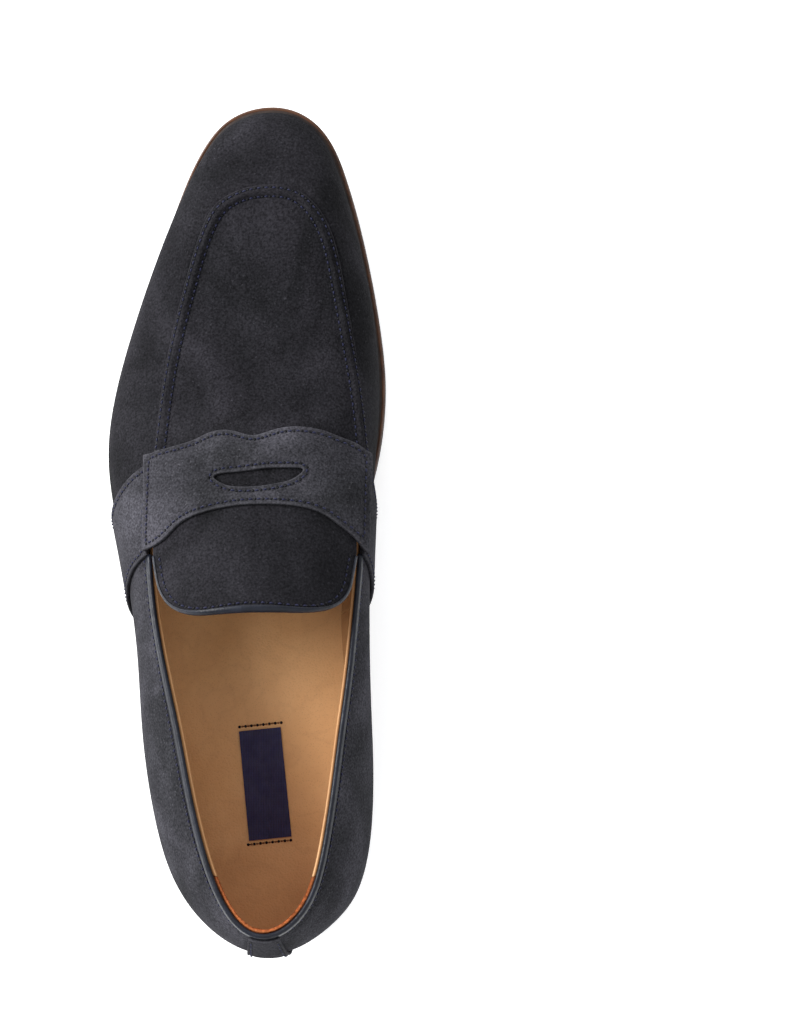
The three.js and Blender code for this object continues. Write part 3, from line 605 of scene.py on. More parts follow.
def swept(name, sections, finishes, side_finishes=None):
    """A closed skin over a row of closed sections. side_finishes numbers the finish of each side."""
    sections = np.asarray(sections)
    count, size, _ = sections.shape
    sides = side_finishes or [0] * size
    obj = mesh_object(name, sections.reshape(-1, 3), tube(count, size), finishes,
                      sides * (count - 1) + [0, 0])
    facing_out(obj)
    return obj


def facing_out(obj):
    """Turns a closed mesh's faces outward."""
    shape = bmesh.new()
    shape.from_mesh(obj.data)
    bmesh.ops.recalc_face_normals(shape, faces=shape.faces)
    shape.to_mesh(obj.data)
    shape.free()


# ------------------------------------------------------------------ stitching

THREAD = 0.34  # radius
THREAD_DIP = 0.6  # how far a stitch climbs from its holes to its middle
THREAD_SPAN = np.linspace(0.22, 0.78, 7)[:, None]  # its part of the way between two holes
STITCH_GROOVE = 0.4  # how deep a row pulls the leather in
GROOVE_WIDTH = 0.85
# sizes of the dark cones of painted shade over the needle holes
HOLE_RADIUS = 0.58
HOLE_TOP = 0.1
HOLE_DEPTH = 0.5
AROUND = np.linspace(0, 2 * math.pi, 7)[:-1]
THREAD_FACES = tube(len(THREAD_SPAN), len(AROUND))
OFF_AXIS = [0.0, 0.6, 0.8]  # a direction that no surface of the shoe faces squarely


def pulled_in(rows):
    """Relief of stitch rows: a shallow channel along each."""
    def relief(plane):
        return sum(-STITCH_GROOVE * np.exp(-((to_path(plane, path) / GROOVE_WIDTH) ** 2)) for path in rows)
    return relief


def circle(middle, radius, side, up):
    return [middle + radius * (math.cos(angle) * side + math.sin(angle) * up) for angle in AROUND]


def needle_hole(hole, up, height):
    """A dark flat cone of painted shade over a needle hole, and one under it: its points and faces."""
    side = unit(np.cross(up, OFF_AXIS))
    middle = hole + up * (height - STITCH_GROOVE / 2)
    points = circle(middle, HOLE_RADIUS, side, np.cross(up, side))
    points += [middle + up * HOLE_TOP, middle - up * HOLE_DEPTH]
    corners = len(AROUND)
    faces = []
    for k in range(corners):
        following = (k + 1) % corners
        faces += [(k, following, corners), (following, k, corners + 1)]
    return points, faces


def stitch(place, plane, height):
    """A short rounded thread over plane places, low and thin at its ends: its points and faces."""
    arch = np.sin(np.linspace(0, math.pi, len(plane)))
    centre = place(plane) + facing(place, plane) * (height - THREAD_DIP + THREAD_DIP * arch)[:, None]
    up = facing(place, plane[len(plane) // 2][None])[0]
    side = np.cross(unit(centre[-1] - centre[0]), up)
    points = []
    for middle, radius in zip(centre, THREAD * (0.5 + 0.5 * arch)):
        points += circle(middle, radius, side, up)
    return points, THREAD_FACES


def stitching(name, place, rows, height, thread=None, pitch=STITCH_PITCH):
    """Separate stitches along rows, with a dark cone of painted shade over the needle hole at each end."""
    points = []
    faces = []
    dark = []
    for path in rows:
        holes = spaced(path, pitch)
        bits = [(1, needle_hole(hole, up, height)) for hole, up in zip(place(holes), facing(place, holes))]
        bits += [(0, stitch(place, a + (b - a) * THREAD_SPAN, height)) for a, b in zip(holes, holes[1:])]
        for is_hole_shade, (bit_points, bit_faces) in bits:
            faces += [tuple(len(points) + k for k in face) for face in bit_faces]
            dark += [is_hole_shade] * len(bit_faces)
            points += bit_points
    # the second finish is the painted shade of the needle holes
    obj = mesh_object(name, points, faces, [thread or THREAD_NAVY, HOLE_SHADE], dark)
    facing_out(obj)
    return obj


# ------------------------------------------------------------------ finishes

def srgb(red, green, blue):
    """A colour of 0 to 255 values as the shader's linear colour."""
    shares = [value / 255 for value in (red, green, blue)]
    return [s / 12.92 if s <= 0.04045 else ((s + 0.055) / 1.055) ** 2.4 for s in shares] + [1]


class Recipe:
    """One procedural material. Scales are features per metre, and depths are metres."""

    def __init__(self, name, **settings):
        self.material = bpy.data.materials.new(name)
        self.material.use_nodes = True
        self.tree = self.material.node_tree
        self.shader = self.tree.nodes["Principled BSDF"]
        self.place = self.tree.nodes.new("ShaderNodeTexCoord").outputs["Object"]
        for socket, value in settings.items():
            self.shader.inputs[socket.replace("_", " ")].default_value = value

    def link(self, output, target):
        self.tree.links.new(output, target)

    def noise(self, scale, detail, stretch=None, distortion=0.0):
        node = self.tree.nodes.new("ShaderNodeTexNoise")
        node.inputs["Scale"].default_value = scale
        node.inputs["Detail"].default_value = detail
        node.inputs["Distortion"].default_value = distortion
        place = self.place
        if stretch:
            mapping = self.tree.nodes.new("ShaderNodeMapping")
            mapping.inputs["Scale"].default_value = stretch
            self.link(place, mapping.inputs["Vector"])
            place = mapping.outputs["Vector"]
        self.link(place, node.inputs["Vector"])
        return node.outputs["Fac"]

    def cells(self, scale):
        node = self.tree.nodes.new("ShaderNodeTexVoronoi")
        node.inputs["Scale"].default_value = scale
        self.link(self.place, node.inputs["Vector"])
        return node.outputs["Distance"]

    def wave(self, scale, direction, distortion=0.0):
        node = self.tree.nodes.new("ShaderNodeTexWave")
        node.bands_direction = direction
        node.inputs["Scale"].default_value = scale
        node.inputs["Distortion"].default_value = distortion
        self.link(self.place, node.inputs["Vector"])
        return node.outputs["Fac"]

    def field(self, name):
        node = self.tree.nodes.new("ShaderNodeAttribute")
        node.attribute_name = name
        return node.outputs["Fac"]

    def ramp(self, value, *stops):
        """Colours, or greys, at (position, colour) stops."""
        node = self.tree.nodes.new("ShaderNodeValToRGB")
        points = node.color_ramp.elements
        while len(points) < len(stops):
            points.new(0.5)
        for point, (position, colour) in zip(points, stops):
            point.position = position
            point.color = colour if isinstance(colour, list) else [colour] * 3 + [1]
        self.link(value, node.inputs["Fac"])
        return node.outputs["Color"]

    def patches(self, scale, detail, *stops, **shape):
        """Colours, or greys, that follow a noise."""
        return self.ramp(self.noise(scale, detail, **shape), *stops)

    def mix(self, share, first, second, how="MIX"):
        node = self.tree.nodes.new("ShaderNodeMix")
        node.data_type = "RGBA"
        node.blend_type = how
        sockets = (node.inputs["Factor"], node.inputs[6], node.inputs[7])
        for socket, value in zip(sockets, (share, first, second)):
            if isinstance(value, bpy.types.NodeSocket):
                self.link(value, socket)
            else:
                socket.default_value = value
        return node.outputs[2]

    def times(self, first, second):
        return self.mix(1.0, first, second, "MULTIPLY")

    def colour(self, output):
        self.link(output, self.shader.inputs["Base Color"])

    def rough(self, value, smoothest, roughest):
        self.link(self.ramp(value, (0.3, smoothest), (0.7, roughest)), self.shader.inputs["Roughness"])

    def finished(self, *layers):
        """The material, with raised detail from (height, depth) layers, the coarsest first."""
        normal = None
        for height, depth in layers:
            node = self.tree.nodes.new("ShaderNodeBump")
            node.inputs["Distance"].default_value = depth
            self.link(height, node.inputs["Height"])
            if normal is not None:
                self.link(normal, node.inputs["Normal"])
            normal = node.outputs["Normal"]
        self.link(normal, self.shader.inputs["Normal"])
        return self.material


def suede(name, dark, light, edge):
    """Napped leather: softly brushed patches, bright fibre tips and paler cut edges."""
    made = Recipe(name, Sheen_Weight=0.12, Sheen_Roughness=0.5, Sheen_Tint=light, Specular_IOR_Level=0.04)
    brushed = made.patches(26, 3, (0.36, dark), (0.7, light), distortion=0.8)
    smudges = made.patches(75, 5, (0.4, 0.8), (0.75, 1.25), stretch=(1, 0.6, 1), distortion=0.4)
    nap = made.patches(1300, 4, (0.34, 0.5), (0.66, 1.3))
    tips = made.patches(1100, 3, (0.63, 0.0), (0.76, 0.45))
    rubbed = made.mix(0.5, made.field("wear"), made.noise(300, 3), "ADD")
    worn = made.ramp(rubbed, (0.2, 0.25), (0.5, 0.0))
    tone = made.times(made.times(brushed, smudges), nap)
    made.colour(made.mix(worn, made.mix(tips, tone, edge), edge))
    made.rough(made.noise(700, 2), 0.86, 1.0)
    return made.finished((made.noise(70, 3), 0.0006), (made.noise(420, 3), 0.00022),
                         (made.noise(1500, 3), 0.00024))


def smooth_leather(name, dark, light, gloss, shine):
    """Finished leather with a fine pebble grain and a soft shine."""
    made = Recipe(name, Specular_IOR_Level=shine)
    made.colour(made.patches(130, 4, (0.3, dark), (0.7, light), distortion=0.4))
    made.rough(made.noise(500, 3), *gloss)
    return made.finished((made.noise(160, 3), 0.0003), (made.cells(1500), 0.00007))


def lining_leather(name, dark, light, shade):
    """Soft tan leather, darker where it is rubbed, with faint creases and pores."""
    made = Recipe(name, Specular_IOR_Level=0.3)
    tone = made.patches(22, 5, (0.28, dark), (0.66, light), distortion=0.5)
    creases = made.patches(60, 3, (0.46, 1.0), (0.5, 0.95), (0.54, 1.0), distortion=0.3)
    scuffs = made.patches(14, 5, (0.56, 0.0), (0.8, 0.4), distortion=0.5)
    pores = made.ramp(made.cells(1300), (0.0, 0.8), (0.35, 1.0))
    made.colour(made.mix(scuffs, made.times(made.times(tone, creases), pores), shade))
    made.rough(made.noise(90, 4), 0.42, 0.68)
    return made.finished((made.noise(60, 3), 0.0004), (made.cells(1300), 0.00007))


def sole_edge(name, dark, light):
    """Dyed and polished stacked leather with fine lengthwise lines."""
    made = Recipe(name, Specular_IOR_Level=0.35, Coat_Weight=0.1, Coat_Roughness=0.25)
    layers = made.noise(6, 4, stretch=(1, 1, 130))
    fibres = made.noise(10, 3, stretch=(1, 1, 420))
    tones = [made.ramp(lines, (0.35, dark), (0.65, light)) for lines in (layers, fibres)]
    made.colour(made.times(made.mix(0.55, *tones), made.patches(90, 4, (0.3, 0.75), (0.7, 1.0))))
    made.rough(made.noise(60, 4), 0.3, 0.5)
    return made.finished((layers, 0.00018), (fibres, 0.00009))


def walked_leather(name, dark, light, scar):
    """The underside of the sole: plain leather with scuffs along the shoe."""
    made = Recipe(name, Specular_IOR_Level=0.35)
    tone = made.patches(30, 5, (0.3, dark), (0.7, light), distortion=0.5)
    scuffs = made.patches(70, 5, (0.55, 0.0), (0.72, 0.6), stretch=(2.2, 0.4, 1), distortion=0.8)
    made.colour(made.mix(scuffs, tone, scar))
    made.rough(made.noise(120, 4), 0.4, 0.7)
    return made.finished((made.noise(260, 4), 0.0002), (made.cells(1600), 0.00006))


def rubber(name, dark, light):
    """Matte black-brown rubber, lighter in random patches."""
    made = Recipe(name, Specular_IOR_Level=0.4)
    made.colour(made.patches(140, 5, (0.3, dark), (0.75, light)))
    made.rough(made.noise(260, 3), 0.55, 0.8)
    return made.finished((made.noise(900, 3), 0.00012))


def sewing_thread(name, dark, light):
    """Bonded thread with the slanting light of its twist."""
    made = Recipe(name, Specular_IOR_Level=0.2)
    twist = made.wave(900, "DIAGONAL", 0.5)
    made.colour(made.ramp(twist, (0.2, dark), (0.8, light)))
    made.rough(made.noise(600, 2), 0.45, 0.7)
    return made.finished((twist, 0.00008))


def woven(name, dark, light):
    """A tightly woven plain ribbon."""
    made = Recipe(name, Sheen_Weight=0.15)
    weave = made.mix(0.5, made.wave(520, "X"), made.wave(520, "Y"), "MULTIPLY")
    tone = made.ramp(weave, (0.1, dark), (0.8, light))
    made.colour(made.times(tone, made.patches(260, 3, (0.3, 0.8), (0.7, 1.0))))
    made.rough(made.noise(300, 2), 0.6, 0.8)
    return made.finished((weave, 0.00012))


def fibre(name, dark, light, grain=700):
    """Board, felt or cork: a speckled fibrous body."""
    made = Recipe(name)
    made.colour(made.ramp(made.cells(grain), (0.1, dark), (0.6, light)))
    made.rough(made.noise(300, 3), 0.8, 0.95)
    return made.finished((made.cells(grain), 0.0003))


def steel(name, colour):
    """Drawn steel with fine lines along it."""
    made = Recipe(name, Metallic=1.0)
    made.colour(made.patches(200, 3, (0.3, colour), (0.7, srgb(190, 190, 194))))
    made.rough(made.noise(500, 3, stretch=(3, 0.3, 3)), 0.28, 0.46)
    return made.finished((made.noise(900, 2, stretch=(4, 0.2, 4)), 0.00004))


SUEDE = suede("suede_grey", srgb(25, 25, 27), srgb(39, 38, 42), srgb(66, 65, 70))
SUEDE_BRUSHED = suede("suede_brushed", srgb(42, 42, 45), srgb(68, 67, 73), srgb(96, 95, 100))
GRIP = suede("suede_rust", srgb(134, 70, 38), srgb(172, 98, 58), srgb(190, 122, 78))
BINDING = smooth_leather("binding_navy", srgb(17, 19, 26), srgb(28, 31, 41), (0.34, 0.5), 0.22)
LINING_TAN = lining_leather("lining_tan", srgb(138, 94, 58), srgb(172, 126, 82), srgb(112, 76, 48))
SOCK_TAN = lining_leather("sock_tan", srgb(196, 147, 97), srgb(216, 168, 117), srgb(168, 120, 76))
CUT_EDGE = lining_leather("lining_cut_edge", srgb(170, 124, 80), srgb(196, 152, 108), srgb(140, 98, 62))
WELT_TOP = smooth_leather("welt_top_dark", srgb(30, 24, 22), srgb(52, 41, 36), (0.55, 0.75), 0.25)
WELT = sole_edge("welt_cognac", srgb(62, 40, 29), srgb(96, 62, 42))
SOLE_EDGE = sole_edge("sole_edge_brown", srgb(32, 24, 21), srgb(60, 46, 40))
SOLE_UNDER = walked_leather("sole_under_brown", srgb(96, 66, 46), srgb(132, 94, 66), srgb(70, 50, 38))
RUBBER = rubber("rubber_dark", srgb(30, 27, 25), srgb(62, 56, 52))
THREAD_NAVY = sewing_thread("thread_navy", srgb(22, 23, 40), srgb(40, 42, 70))
THREAD_BROWN = sewing_thread("thread_brown", srgb(88, 54, 30), srgb(136, 92, 56))
# painted shade: the near-black colour of the cones over the needle holes
HOLE_SHADE = sewing_thread("needle_hole", srgb(8, 8, 10), srgb(20, 20, 24))
LABEL_NAVY = woven("label_navy", srgb(22, 22, 58), srgb(40, 40, 92))
HIDDEN = {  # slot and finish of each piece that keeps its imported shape
    "toe_puff": ("stiffener", fibre("puff_felt", srgb(180, 168, 146), srgb(214, 204, 184))),
    "heel_counter": ("stiffener", fibre("counter_board", srgb(168, 150, 124), srgb(206, 190, 162))),
    "insole_board": ("board", fibre("insole_fibre", srgb(140, 108, 72), srgb(182, 146, 104))),
    "cork_filler": ("cork", fibre("cork", srgb(110, 78, 48), srgb(176, 134, 88), 380)),
    "shank": ("shank_steel", steel("shank_steel", srgb(140, 142, 146))),
}
NAIL_STEEL = steel("nail_steel", srgb(128, 130, 134))
for number in range(1, NAILS + 1):
    HIDDEN[f"heel_nail_{number}"] = ("nail_steel", NAIL_STEEL)


# ------------------------------------------------------------------ edges on the wall

def halved(low, high, is_short, rounds):
    """Where a rule turns from true at low to false at high."""
    for _ in range(rounds):
        middle = (low + high) / 2
        short = is_short(middle)
        low, high = np.where(short, middle, low), np.where(short, high, middle)
    return low


def meets(line, w, medial):
    """The t at which the wall, at height w, crosses a side-view line."""
    def is_short(t):
        point = skin(2 - t if medial else t, w)
        return point[:, 1] < line(point[:, 2])

    t = halved(np.full(len(w), 0.1), np.full(len(w), 0.9), is_short, 30)
    return 2 - t if medial else t


def beside(line, distance):
    """A side-view line moved along the shoe."""
    return lambda z: line(z) + distance


def below_top(t, drop):
    """The height w at a distance below the top line."""
    step = 0.02
    climb = (skin(t, np.ones(len(t))) - skin(t, np.full(len(t), 1 - step)))[:, 2] / step
    return 1 - drop / climb


def stretch(start, finish, count=160):
    return np.linspace(start, finish, count)


def wall_outline(rear, front, foot, top):
    """A pattern outline. rear and front give t at heights w; foot is a height and top gives heights at t."""
    def side(rule):
        w = foot + (top(rule(np.array([1.0])))[0] - foot) * np.linspace(0, 1, 41)
        return on_pattern(rule(w), w)

    def along(start_rule, finish_rule, w):
        return stretch(start_rule(np.array([w]))[0], finish_rule(np.array([w]))[0])

    over = along(rear, front, 1.0)
    under = along(front, rear, foot)
    return np.concatenate([side(rear)[:-1], on_pattern(over, top(over)), side(front)[::-1][1:],
                           on_pattern(under, foot)[1:-1]])


def seam_rule(line, medial):
    return lambda w: meets(line, w, medial)


def at_turn(t):
    return lambda w: np.full(len(w), float(t))


def at_y(y, medial):
    return seam_rule(lambda z: y + 0 * z, medial)


def drop_rule(drop):
    return lambda t: below_top(t, drop)


def side_name(medial):
    return "medial" if medial else "lateral"


# ------------------------------------------------------------------ the upper


def attach(obj, *nodes):
    """A finished piece that stands for CAD nodes and rides on the shoe."""
    if nodes:
        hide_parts(*nodes)
    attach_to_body(obj, "shoe")
    return obj


def sew(piece, node, stitches, place, rows, height, fasten=attach):
    """Adds the stitches of a panel and puts both in place on the piece under it."""
    thread = fasten(stitching(stitches, place, rows, height))
    fasten(piece, node)


LAP_FROM = 168  # from here on the vamp wall runs in under the apron
LAP_FADE = 6
LAP_CLIMB = 0.1


def vamp_wall():
    def top(t):
        return 1 + LAP_CLIMB * np.clip((topline(t)[:, 1] - LAP_FROM) / LAP_FADE, 0, 1)

    ends = [seam_rule(beside(vamp_seam, GAP / 2), medial) for medial in (False, True)]
    piece = panel("vamp_wall_suede", from_pattern, [wall_outline(*ends, 0, top)], UPPER, [SUEDE])
    attach(piece, "vamp_wall")


def heel_side(medial):
    """The t of the heel seam on one side."""
    half_gap = GAP / 2
    arc = PATTERN_ARC[np.searchsorted(PATTERN_T, 2)] - half_gap if medial else half_gap
    return float(np.interp(arc, PATTERN_ARC, PATTERN_T))


def quarter(medial):
    outline = wall_outline(at_turn(heel_side(medial)), seam_rule(beside(vamp_seam, -GAP / 2), medial),
                           0, drop_rule(QUARTER_DROP))
    rows = [topline_row(medial)]
    side = side_name(medial)
    piece = panel(f"quarter_suede_{side}", from_pattern, [outline], UPPER, [SUEDE_BRUSHED],
                  pulled_in(rows))
    sew(piece, f"quarter_{side}", f"topline_stitches_{side}", from_pattern, rows, UPPER[1])


def topline_row(medial):
    """The row that holds the binding, from the backstay to the straps."""
    near, far = topline.turn(TOPLINE_ROW)
    t = stretch(2 - near, 2 - far) if medial else stretch(near, far)
    return on_pattern(t, below_top(t, BINDING_FOLD + SEAM_BELOW_FOLD))


WING_ROW_FOOT = 0.05  # height w at which the wings' stitching ends


def wing(medial):
    """The lower part of the strap, from beside the saddle down to the welt."""
    top = 1 + WING_TOP_INSET / LAP_REACH
    outline = wall_outline(seam_rule(strap_rear, medial), seam_rule(strap_front, medial), 0.0,
                           lambda t: np.full(len(t), top))
    inner = drawn_in(cornered(outline, LONGEST_SIDE), SEAM_INSET)
    lowest = np.argmin(inner[:, 1])
    row = np.roll(inner, -lowest, axis=0)
    row = row[row[:, 1] > WING_ROW_FOOT * WALL_RISE]
    side = side_name(medial)
    piece = panel(f"strap_wing_suede_{side}", from_pattern, [outline], OVERLAY, [SUEDE_BRUSHED],
                  pulled_in([row]))
    sew(piece, f"strap_wing_{side}", f"strap_wing_stitches_{side}", from_pattern,
        [row], OVERLAY[1])


BACKSTAY_ROW = (0.06, 0.94)  # heights w between which the backstay's stitching runs


def backstay():
    t = stretch(-0.5, 0.5, 801)
    arc = np.interp(t, PATTERN_T, PATTERN_ARC)
    left, right = (float(np.interp(reach, arc, t)) for reach in (-BACKSTAY_WIDTH / 2, BACKSTAY_WIDTH / 2))
    outline = wall_outline(at_turn(left), at_turn(right), 0, drop_rule(BINDING_FOLD + GAP))
    climb = stretch(*BACKSTAY_ROW, 60)
    rows = [on_pattern(np.full(len(climb), edge), climb) + [inset, 0]
            for edge, inset in ((left, -SEAM_INSET), (right, SEAM_INSET))]
    piece = panel("backstay_suede", from_pattern, [outline], BACKSTAY, [SUEDE_BRUSHED],
                  pulled_in(rows))
    sew(piece, "backstay", "backstay_stitches", from_pattern, rows, BACKSTAY[1])


APRON_INNER_ROW = smooth(APRON_SEAM)
APRON_OUTER_ROW = moved_left(APRON_INNER_ROW, APRON_RIDGE_WIDTH)
RIDGE_MARGIN = 1.8  # how far outside the rows the ridge may reach
RIDGE_FADE = 1.4


def apron_relief(plane):
    """The raised pinched seam between the two rows of the apron, with the rows pulled in."""
    outer_row, inner_row = APRON_OUTER_ROW[::4], APRON_INNER_ROW[::2]
    outside = to_path(plane, outer_row)
    inside = to_path(plane, inner_row)
    across = outside + inside
    balance = 1 - ((outside - inside) / np.maximum(across, TINY)) ** 2
    within = np.clip((APRON_RIDGE_WIDTH + RIDGE_MARGIN - across) / RIDGE_FADE, 0, 1)
    return APRON_RIDGE * balance**RIDGE_SHARPNESS * within + pulled_in([outer_row, inner_row])(plane)


def apron():
    edge = moved_left(APRON_INNER_ROW, APRON_RIDGE_WIDTH + APRON_EDGE)
    mouth = float(topline.turn(MOUTH_END))
    outline = np.concatenate([edge, topline.inset(np.array([2 - mouth, mouth]), -APRON_EDGE)])
    piece = panel("apron_suede", from_plan, [outline], OVERLAY, [SUEDE], apron_relief, spacing=1.0,
                  edge_radius=APRON_EDGE)
    sew(piece, "apron", "apron_stitches", from_plan, [APRON_OUTER_ROW, APRON_INNER_ROW],
        OVERLAY[1] + RIDGE_FOOT)


def saddle():
    outline = np.concatenate([smooth(SADDLE_REAR), smooth(SADDLE_FRONT)])
    slit = smooth_closed(SLIT)
    rows = [closed(drawn_in(cornered(outline, LONGEST_SIDE), SEAM_INSET)),
            closed(drawn_in(cornered(slit, SLIT_SPACING), -SEAM_INSET))]
    piece = panel("saddle_suede", from_plan, [outline, slit], SADDLE, [SUEDE_BRUSHED],
                  pulled_in(rows), spacing=1.0)
    sew(piece, "saddle_strap", "saddle_stitches", from_plan, rows, SADDLE[1])


FOLD_AIR = 0.05  # between a binding and the edge in it


def folded(inner, outer, thick):
    """The section of a binding folded over an edge, as (outward, upward) points with its fold at 0."""
    middle, reach = (inner + outer) / 2, (outer - inner) / 2

    def over_edge(start, radius, count):
        angles = np.linspace(0, math.pi, count)
        return np.column_stack([middle + start * radius * np.cos(angles), -reach + radius * np.sin(angles)])

    return np.concatenate([[(outer, -BINDING_FOLD)], over_edge(1, reach, 11),
                           [(inner, -BINDING_FOLD), (inner + thick, -BINDING_FOLD)],
                           over_edge(-1, reach - thick, 7), [(outer - thick, -BINDING_FOLD)]])


def bound(name, inner, outer, thick, edge, out, up):
    """A binding folded over an edge of given points and directions, round layers from inner to outer."""
    profile = folded(inner - thick, outer + thick, thick - FOLD_AIR)
    sections = [point + profile[:, :1] * side + profile[:, 1:] * rise
                for point, side, rise in zip(edge, out, up)]
    return swept(name, sections, [BINDING])


def topline_binding():
    ends = float(topline.turn(BINDING_END))
    t = stretch(-ends, ends, 300)
    top = skin(t, np.ones(len(t)))
    up = unit(top - skin(t, np.full(len(t), 0.96)))
    out = facing(from_pattern, on_pattern(t, 0.97))
    piece = bound("topline_binding_leather", *UPPER, BINDING_THICK, top, out, up)
    attach(piece, "topline_binding")


# ------------------------------------------------------------------ the lining

def joined(name, *objects):
    """Pieces of one material as one object."""
    shape = bmesh.new()
    for obj in objects:
        shape.from_mesh(obj.data)
    shape.to_mesh(objects[0].data)
    shape.free()
    for obj in objects[1:]:
        bpy.data.objects.remove(obj)
    objects[0].name = name
    return objects[0]


FOAM_HEIGHT = 0.5  # the foam at the heel is thickest this far up the wall
FOAM_SPREAD = 0.27
FOAM_TO = 80
FOAM_FADE = 60
COUNTER_TO = 100
COUNTER_FADE = 10
COUNTER_TOP = (0.3, 3)  # the counter's share of cover starts this late, over this height below the edge
PUFF_FROM = 190
PUFF_FADE = 20


def soft_waves(height, scale):
    """Relief of the slight looseness of a lining."""
    return lambda plane: height * (np.sin(plane[:, 0] / scale) * np.cos(plane[:, 1] / scale / 0.7))


def heel_padding(plane):
    """Foam behind the lining that rounds the inside of the heel, and the counter that it covers."""
    y = from_pattern(plane)[:, 1]
    swell = np.exp(-(((plane[:, 1] / WALL_RISE - FOAM_HEIGHT) / FOAM_SPREAD) ** 2))
    foam = COLLAR_PAD * swell * np.clip((FOAM_TO - y) / FOAM_FADE, 0, 1)
    late, height = COUNTER_TOP
    below_edge = np.clip((WALL_RISE - plane[:, 1]) / height - late, 0, 1)
    return np.maximum(foam, STIFFENER_COVER * below_edge * np.clip((COUNTER_TO - y) / COUNTER_FADE, 0, 1))


def toe_padding(y):
    """The toe puff that the front of the lining covers."""
    return STIFFENER_COVER * np.clip((y - PUFF_FROM) / PUFF_FADE, 0, 1)


def lining(name, place, outline, spacing, padding, finishes, relief=flat):
    return panel(name, place, [outline], LINING, finishes, relief, spacing, padding)


def linings():
    top = drop_rule(LINING_EDGE_DROP)
    tan = [LINING_TAN, CUT_EDGE]
    seam = beside(vamp_seam, -LINING_SEAM_BACK)
    for medial in (False, True):
        side = side_name(medial)
        outline = wall_outline(at_y(GRIP_TO + GAP, medial), seam_rule(beside(seam, -GAP / 2), medial),
                               LINING_FOOT, top)
        piece = lining(f"quarter_lining_leather_{side}", from_pattern, outline, 1.8, heel_padding, tan,
                       soft_waves(0.12, 9))
        attach(piece, f"quarter_lining_{side}")
    round_heel = wall_outline(lambda w: at_y(GRIP_TO, True)(w) - 2, at_y(GRIP_TO, False), LINING_FOOT, top)
    grip = lining("heel_grip_suede", from_pattern, round_heel, 1.5, heel_padding, [GRIP, GRIP],
                  soft_waves(0.1, 7))
    attach(grip, "heel_grip")
    ends = [seam_rule(beside(seam, GAP / 2), medial) for medial in (False, True)]
    wall_part = lining("vamp_lining_leather", from_pattern, wall_outline(*ends, LINING_FOOT, top), 2.2,
                       lambda plane: toe_padding(from_pattern(plane)[:, 1]), tan)
    mouth = float(topline.turn(MOUTH_END))
    cap_part = lining("vamp_lining_top", from_plan, topline.inset(stretch(mouth, 2 - mouth, 200), GAP), 2.2,
                      lambda plane: toe_padding(plane[:, 1]), tan)
    attach(joined("vamp_lining_leather", wall_part, cap_part), "vamp_lining")


# ------------------------------------------------------------------ the tongue

def to_tongue_middle(path):
    """Plan directions from places to the middle of the tongue."""
    return unit(TONGUE_MIDDLE - path)


def lifting(obj, *nodes):
    """A tongue piece: hides its imported nodes and bakes its place into its points."""
    if nodes:
        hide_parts(*nodes)
    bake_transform(obj)
    return obj


def tongue():
    around = np.concatenate([smooth(TONGUE_EDGE), smooth(TONGUE_ROOT)])
    body = around + to_tongue_middle(around) * (TONGUE_BINDING_THICK + GAP)
    edge = smooth(TONGUE_EDGE)
    row = edge + to_tongue_middle(edge) * (BINDING_FOLD + SEAM_BELOW_FOLD)
    row = row[row[:, 1] < TONGUE_BINDING_END]
    top = panel("tongue_suede", from_plan, [body], OVERLAY, [SUEDE], pulled_in([row]), 1.0)
    sew(top, "tongue", "tongue_stitches", from_plan, [row], OVERLAY[1], lifting)
    backing = panel("tongue_lining_leather", from_plan, [body], TONGUE_LINING, [LINING_TAN, CUT_EDGE],
                    spacing=1.4)
    lifting(backing, "tongue_lining")
    tongue_binding(edge[edge[:, 1] < TONGUE_BINDING_END])


def tongue_binding(path):
    """The binding round the free edge of the tongue, along a plan path."""
    edge = from_plan(path)
    out = facing(from_plan, path)
    up = -unit(from_plan(path + to_tongue_middle(path)) - edge)
    piece = bound("tongue_binding_leather", TONGUE_LINING[0], OVERLAY[1], TONGUE_BINDING_THICK, edge, out, up)
    lifting(piece, "tongue_binding")


# ------------------------------------------------------------------ inside the shoe

DISH_DEPTH = 0.8
DISH_Y = 38
DISH_SIZE = (18, 26)
SOCK_THICK = 1
SOCK_GAP = 0.1
SOCK_SPACING = 2.0
LABEL_SPACING = 1.5
LABEL_UNDER, LABEL_OVER = 0.1, 0.55  # heights above the sock liner
LABEL_SEW_HEIGHT = 0.3
LABEL_PITCH = 2.1
# each row of the label's stitches: two of its corners, and the step from them to the row
LABEL_ENDS = ((0, 1, [-0.3, -1.4]), (3, 2, [0.2, 1.6]))


def level(height):
    """A height rule that is the same everywhere."""
    return lambda x, y: height + 0 * y


def above(rule, rise):
    return lambda x, y: rule(x, y) + rise


def sock_z(x, y):
    """The sock liner's surface, dished a little where the heel stands."""
    wide, long = DISH_SIZE
    dish = DISH_DEPTH * np.exp(-(((x - AXIS_X) / wide) ** 2 + ((y - DISH_Y) / long) ** 2))
    return feather_z(y) + SOCK_TOP - dish


def sock_outline():
    """Where the sock liner meets the inside of the lining."""
    t = stretch(0, 2, 361)[:-1]

    def is_under(w):
        point = skin(t, w)
        return point[:, 2] < feather_z(point[:, 1]) + SOCK_TOP

    w = halved(np.full(len(t), LINING_FOOT), np.full(len(t), 0.6), is_under, 24)
    inside = skin(t, w) + facing(from_pattern, on_pattern(t, w)) * (LINING[0] - GAP)
    return inside[:, :2]


def sock():
    outline = cornered(drawn_in(sock_outline(), SOCK_GAP), SOCK_SPACING)
    piece = plate("sock_liner_leather", outline, above(sock_z, -SOCK_THICK), sock_z, SOCK_TAN,
                  3.0, 3)
    attach(piece, "sock_liner")


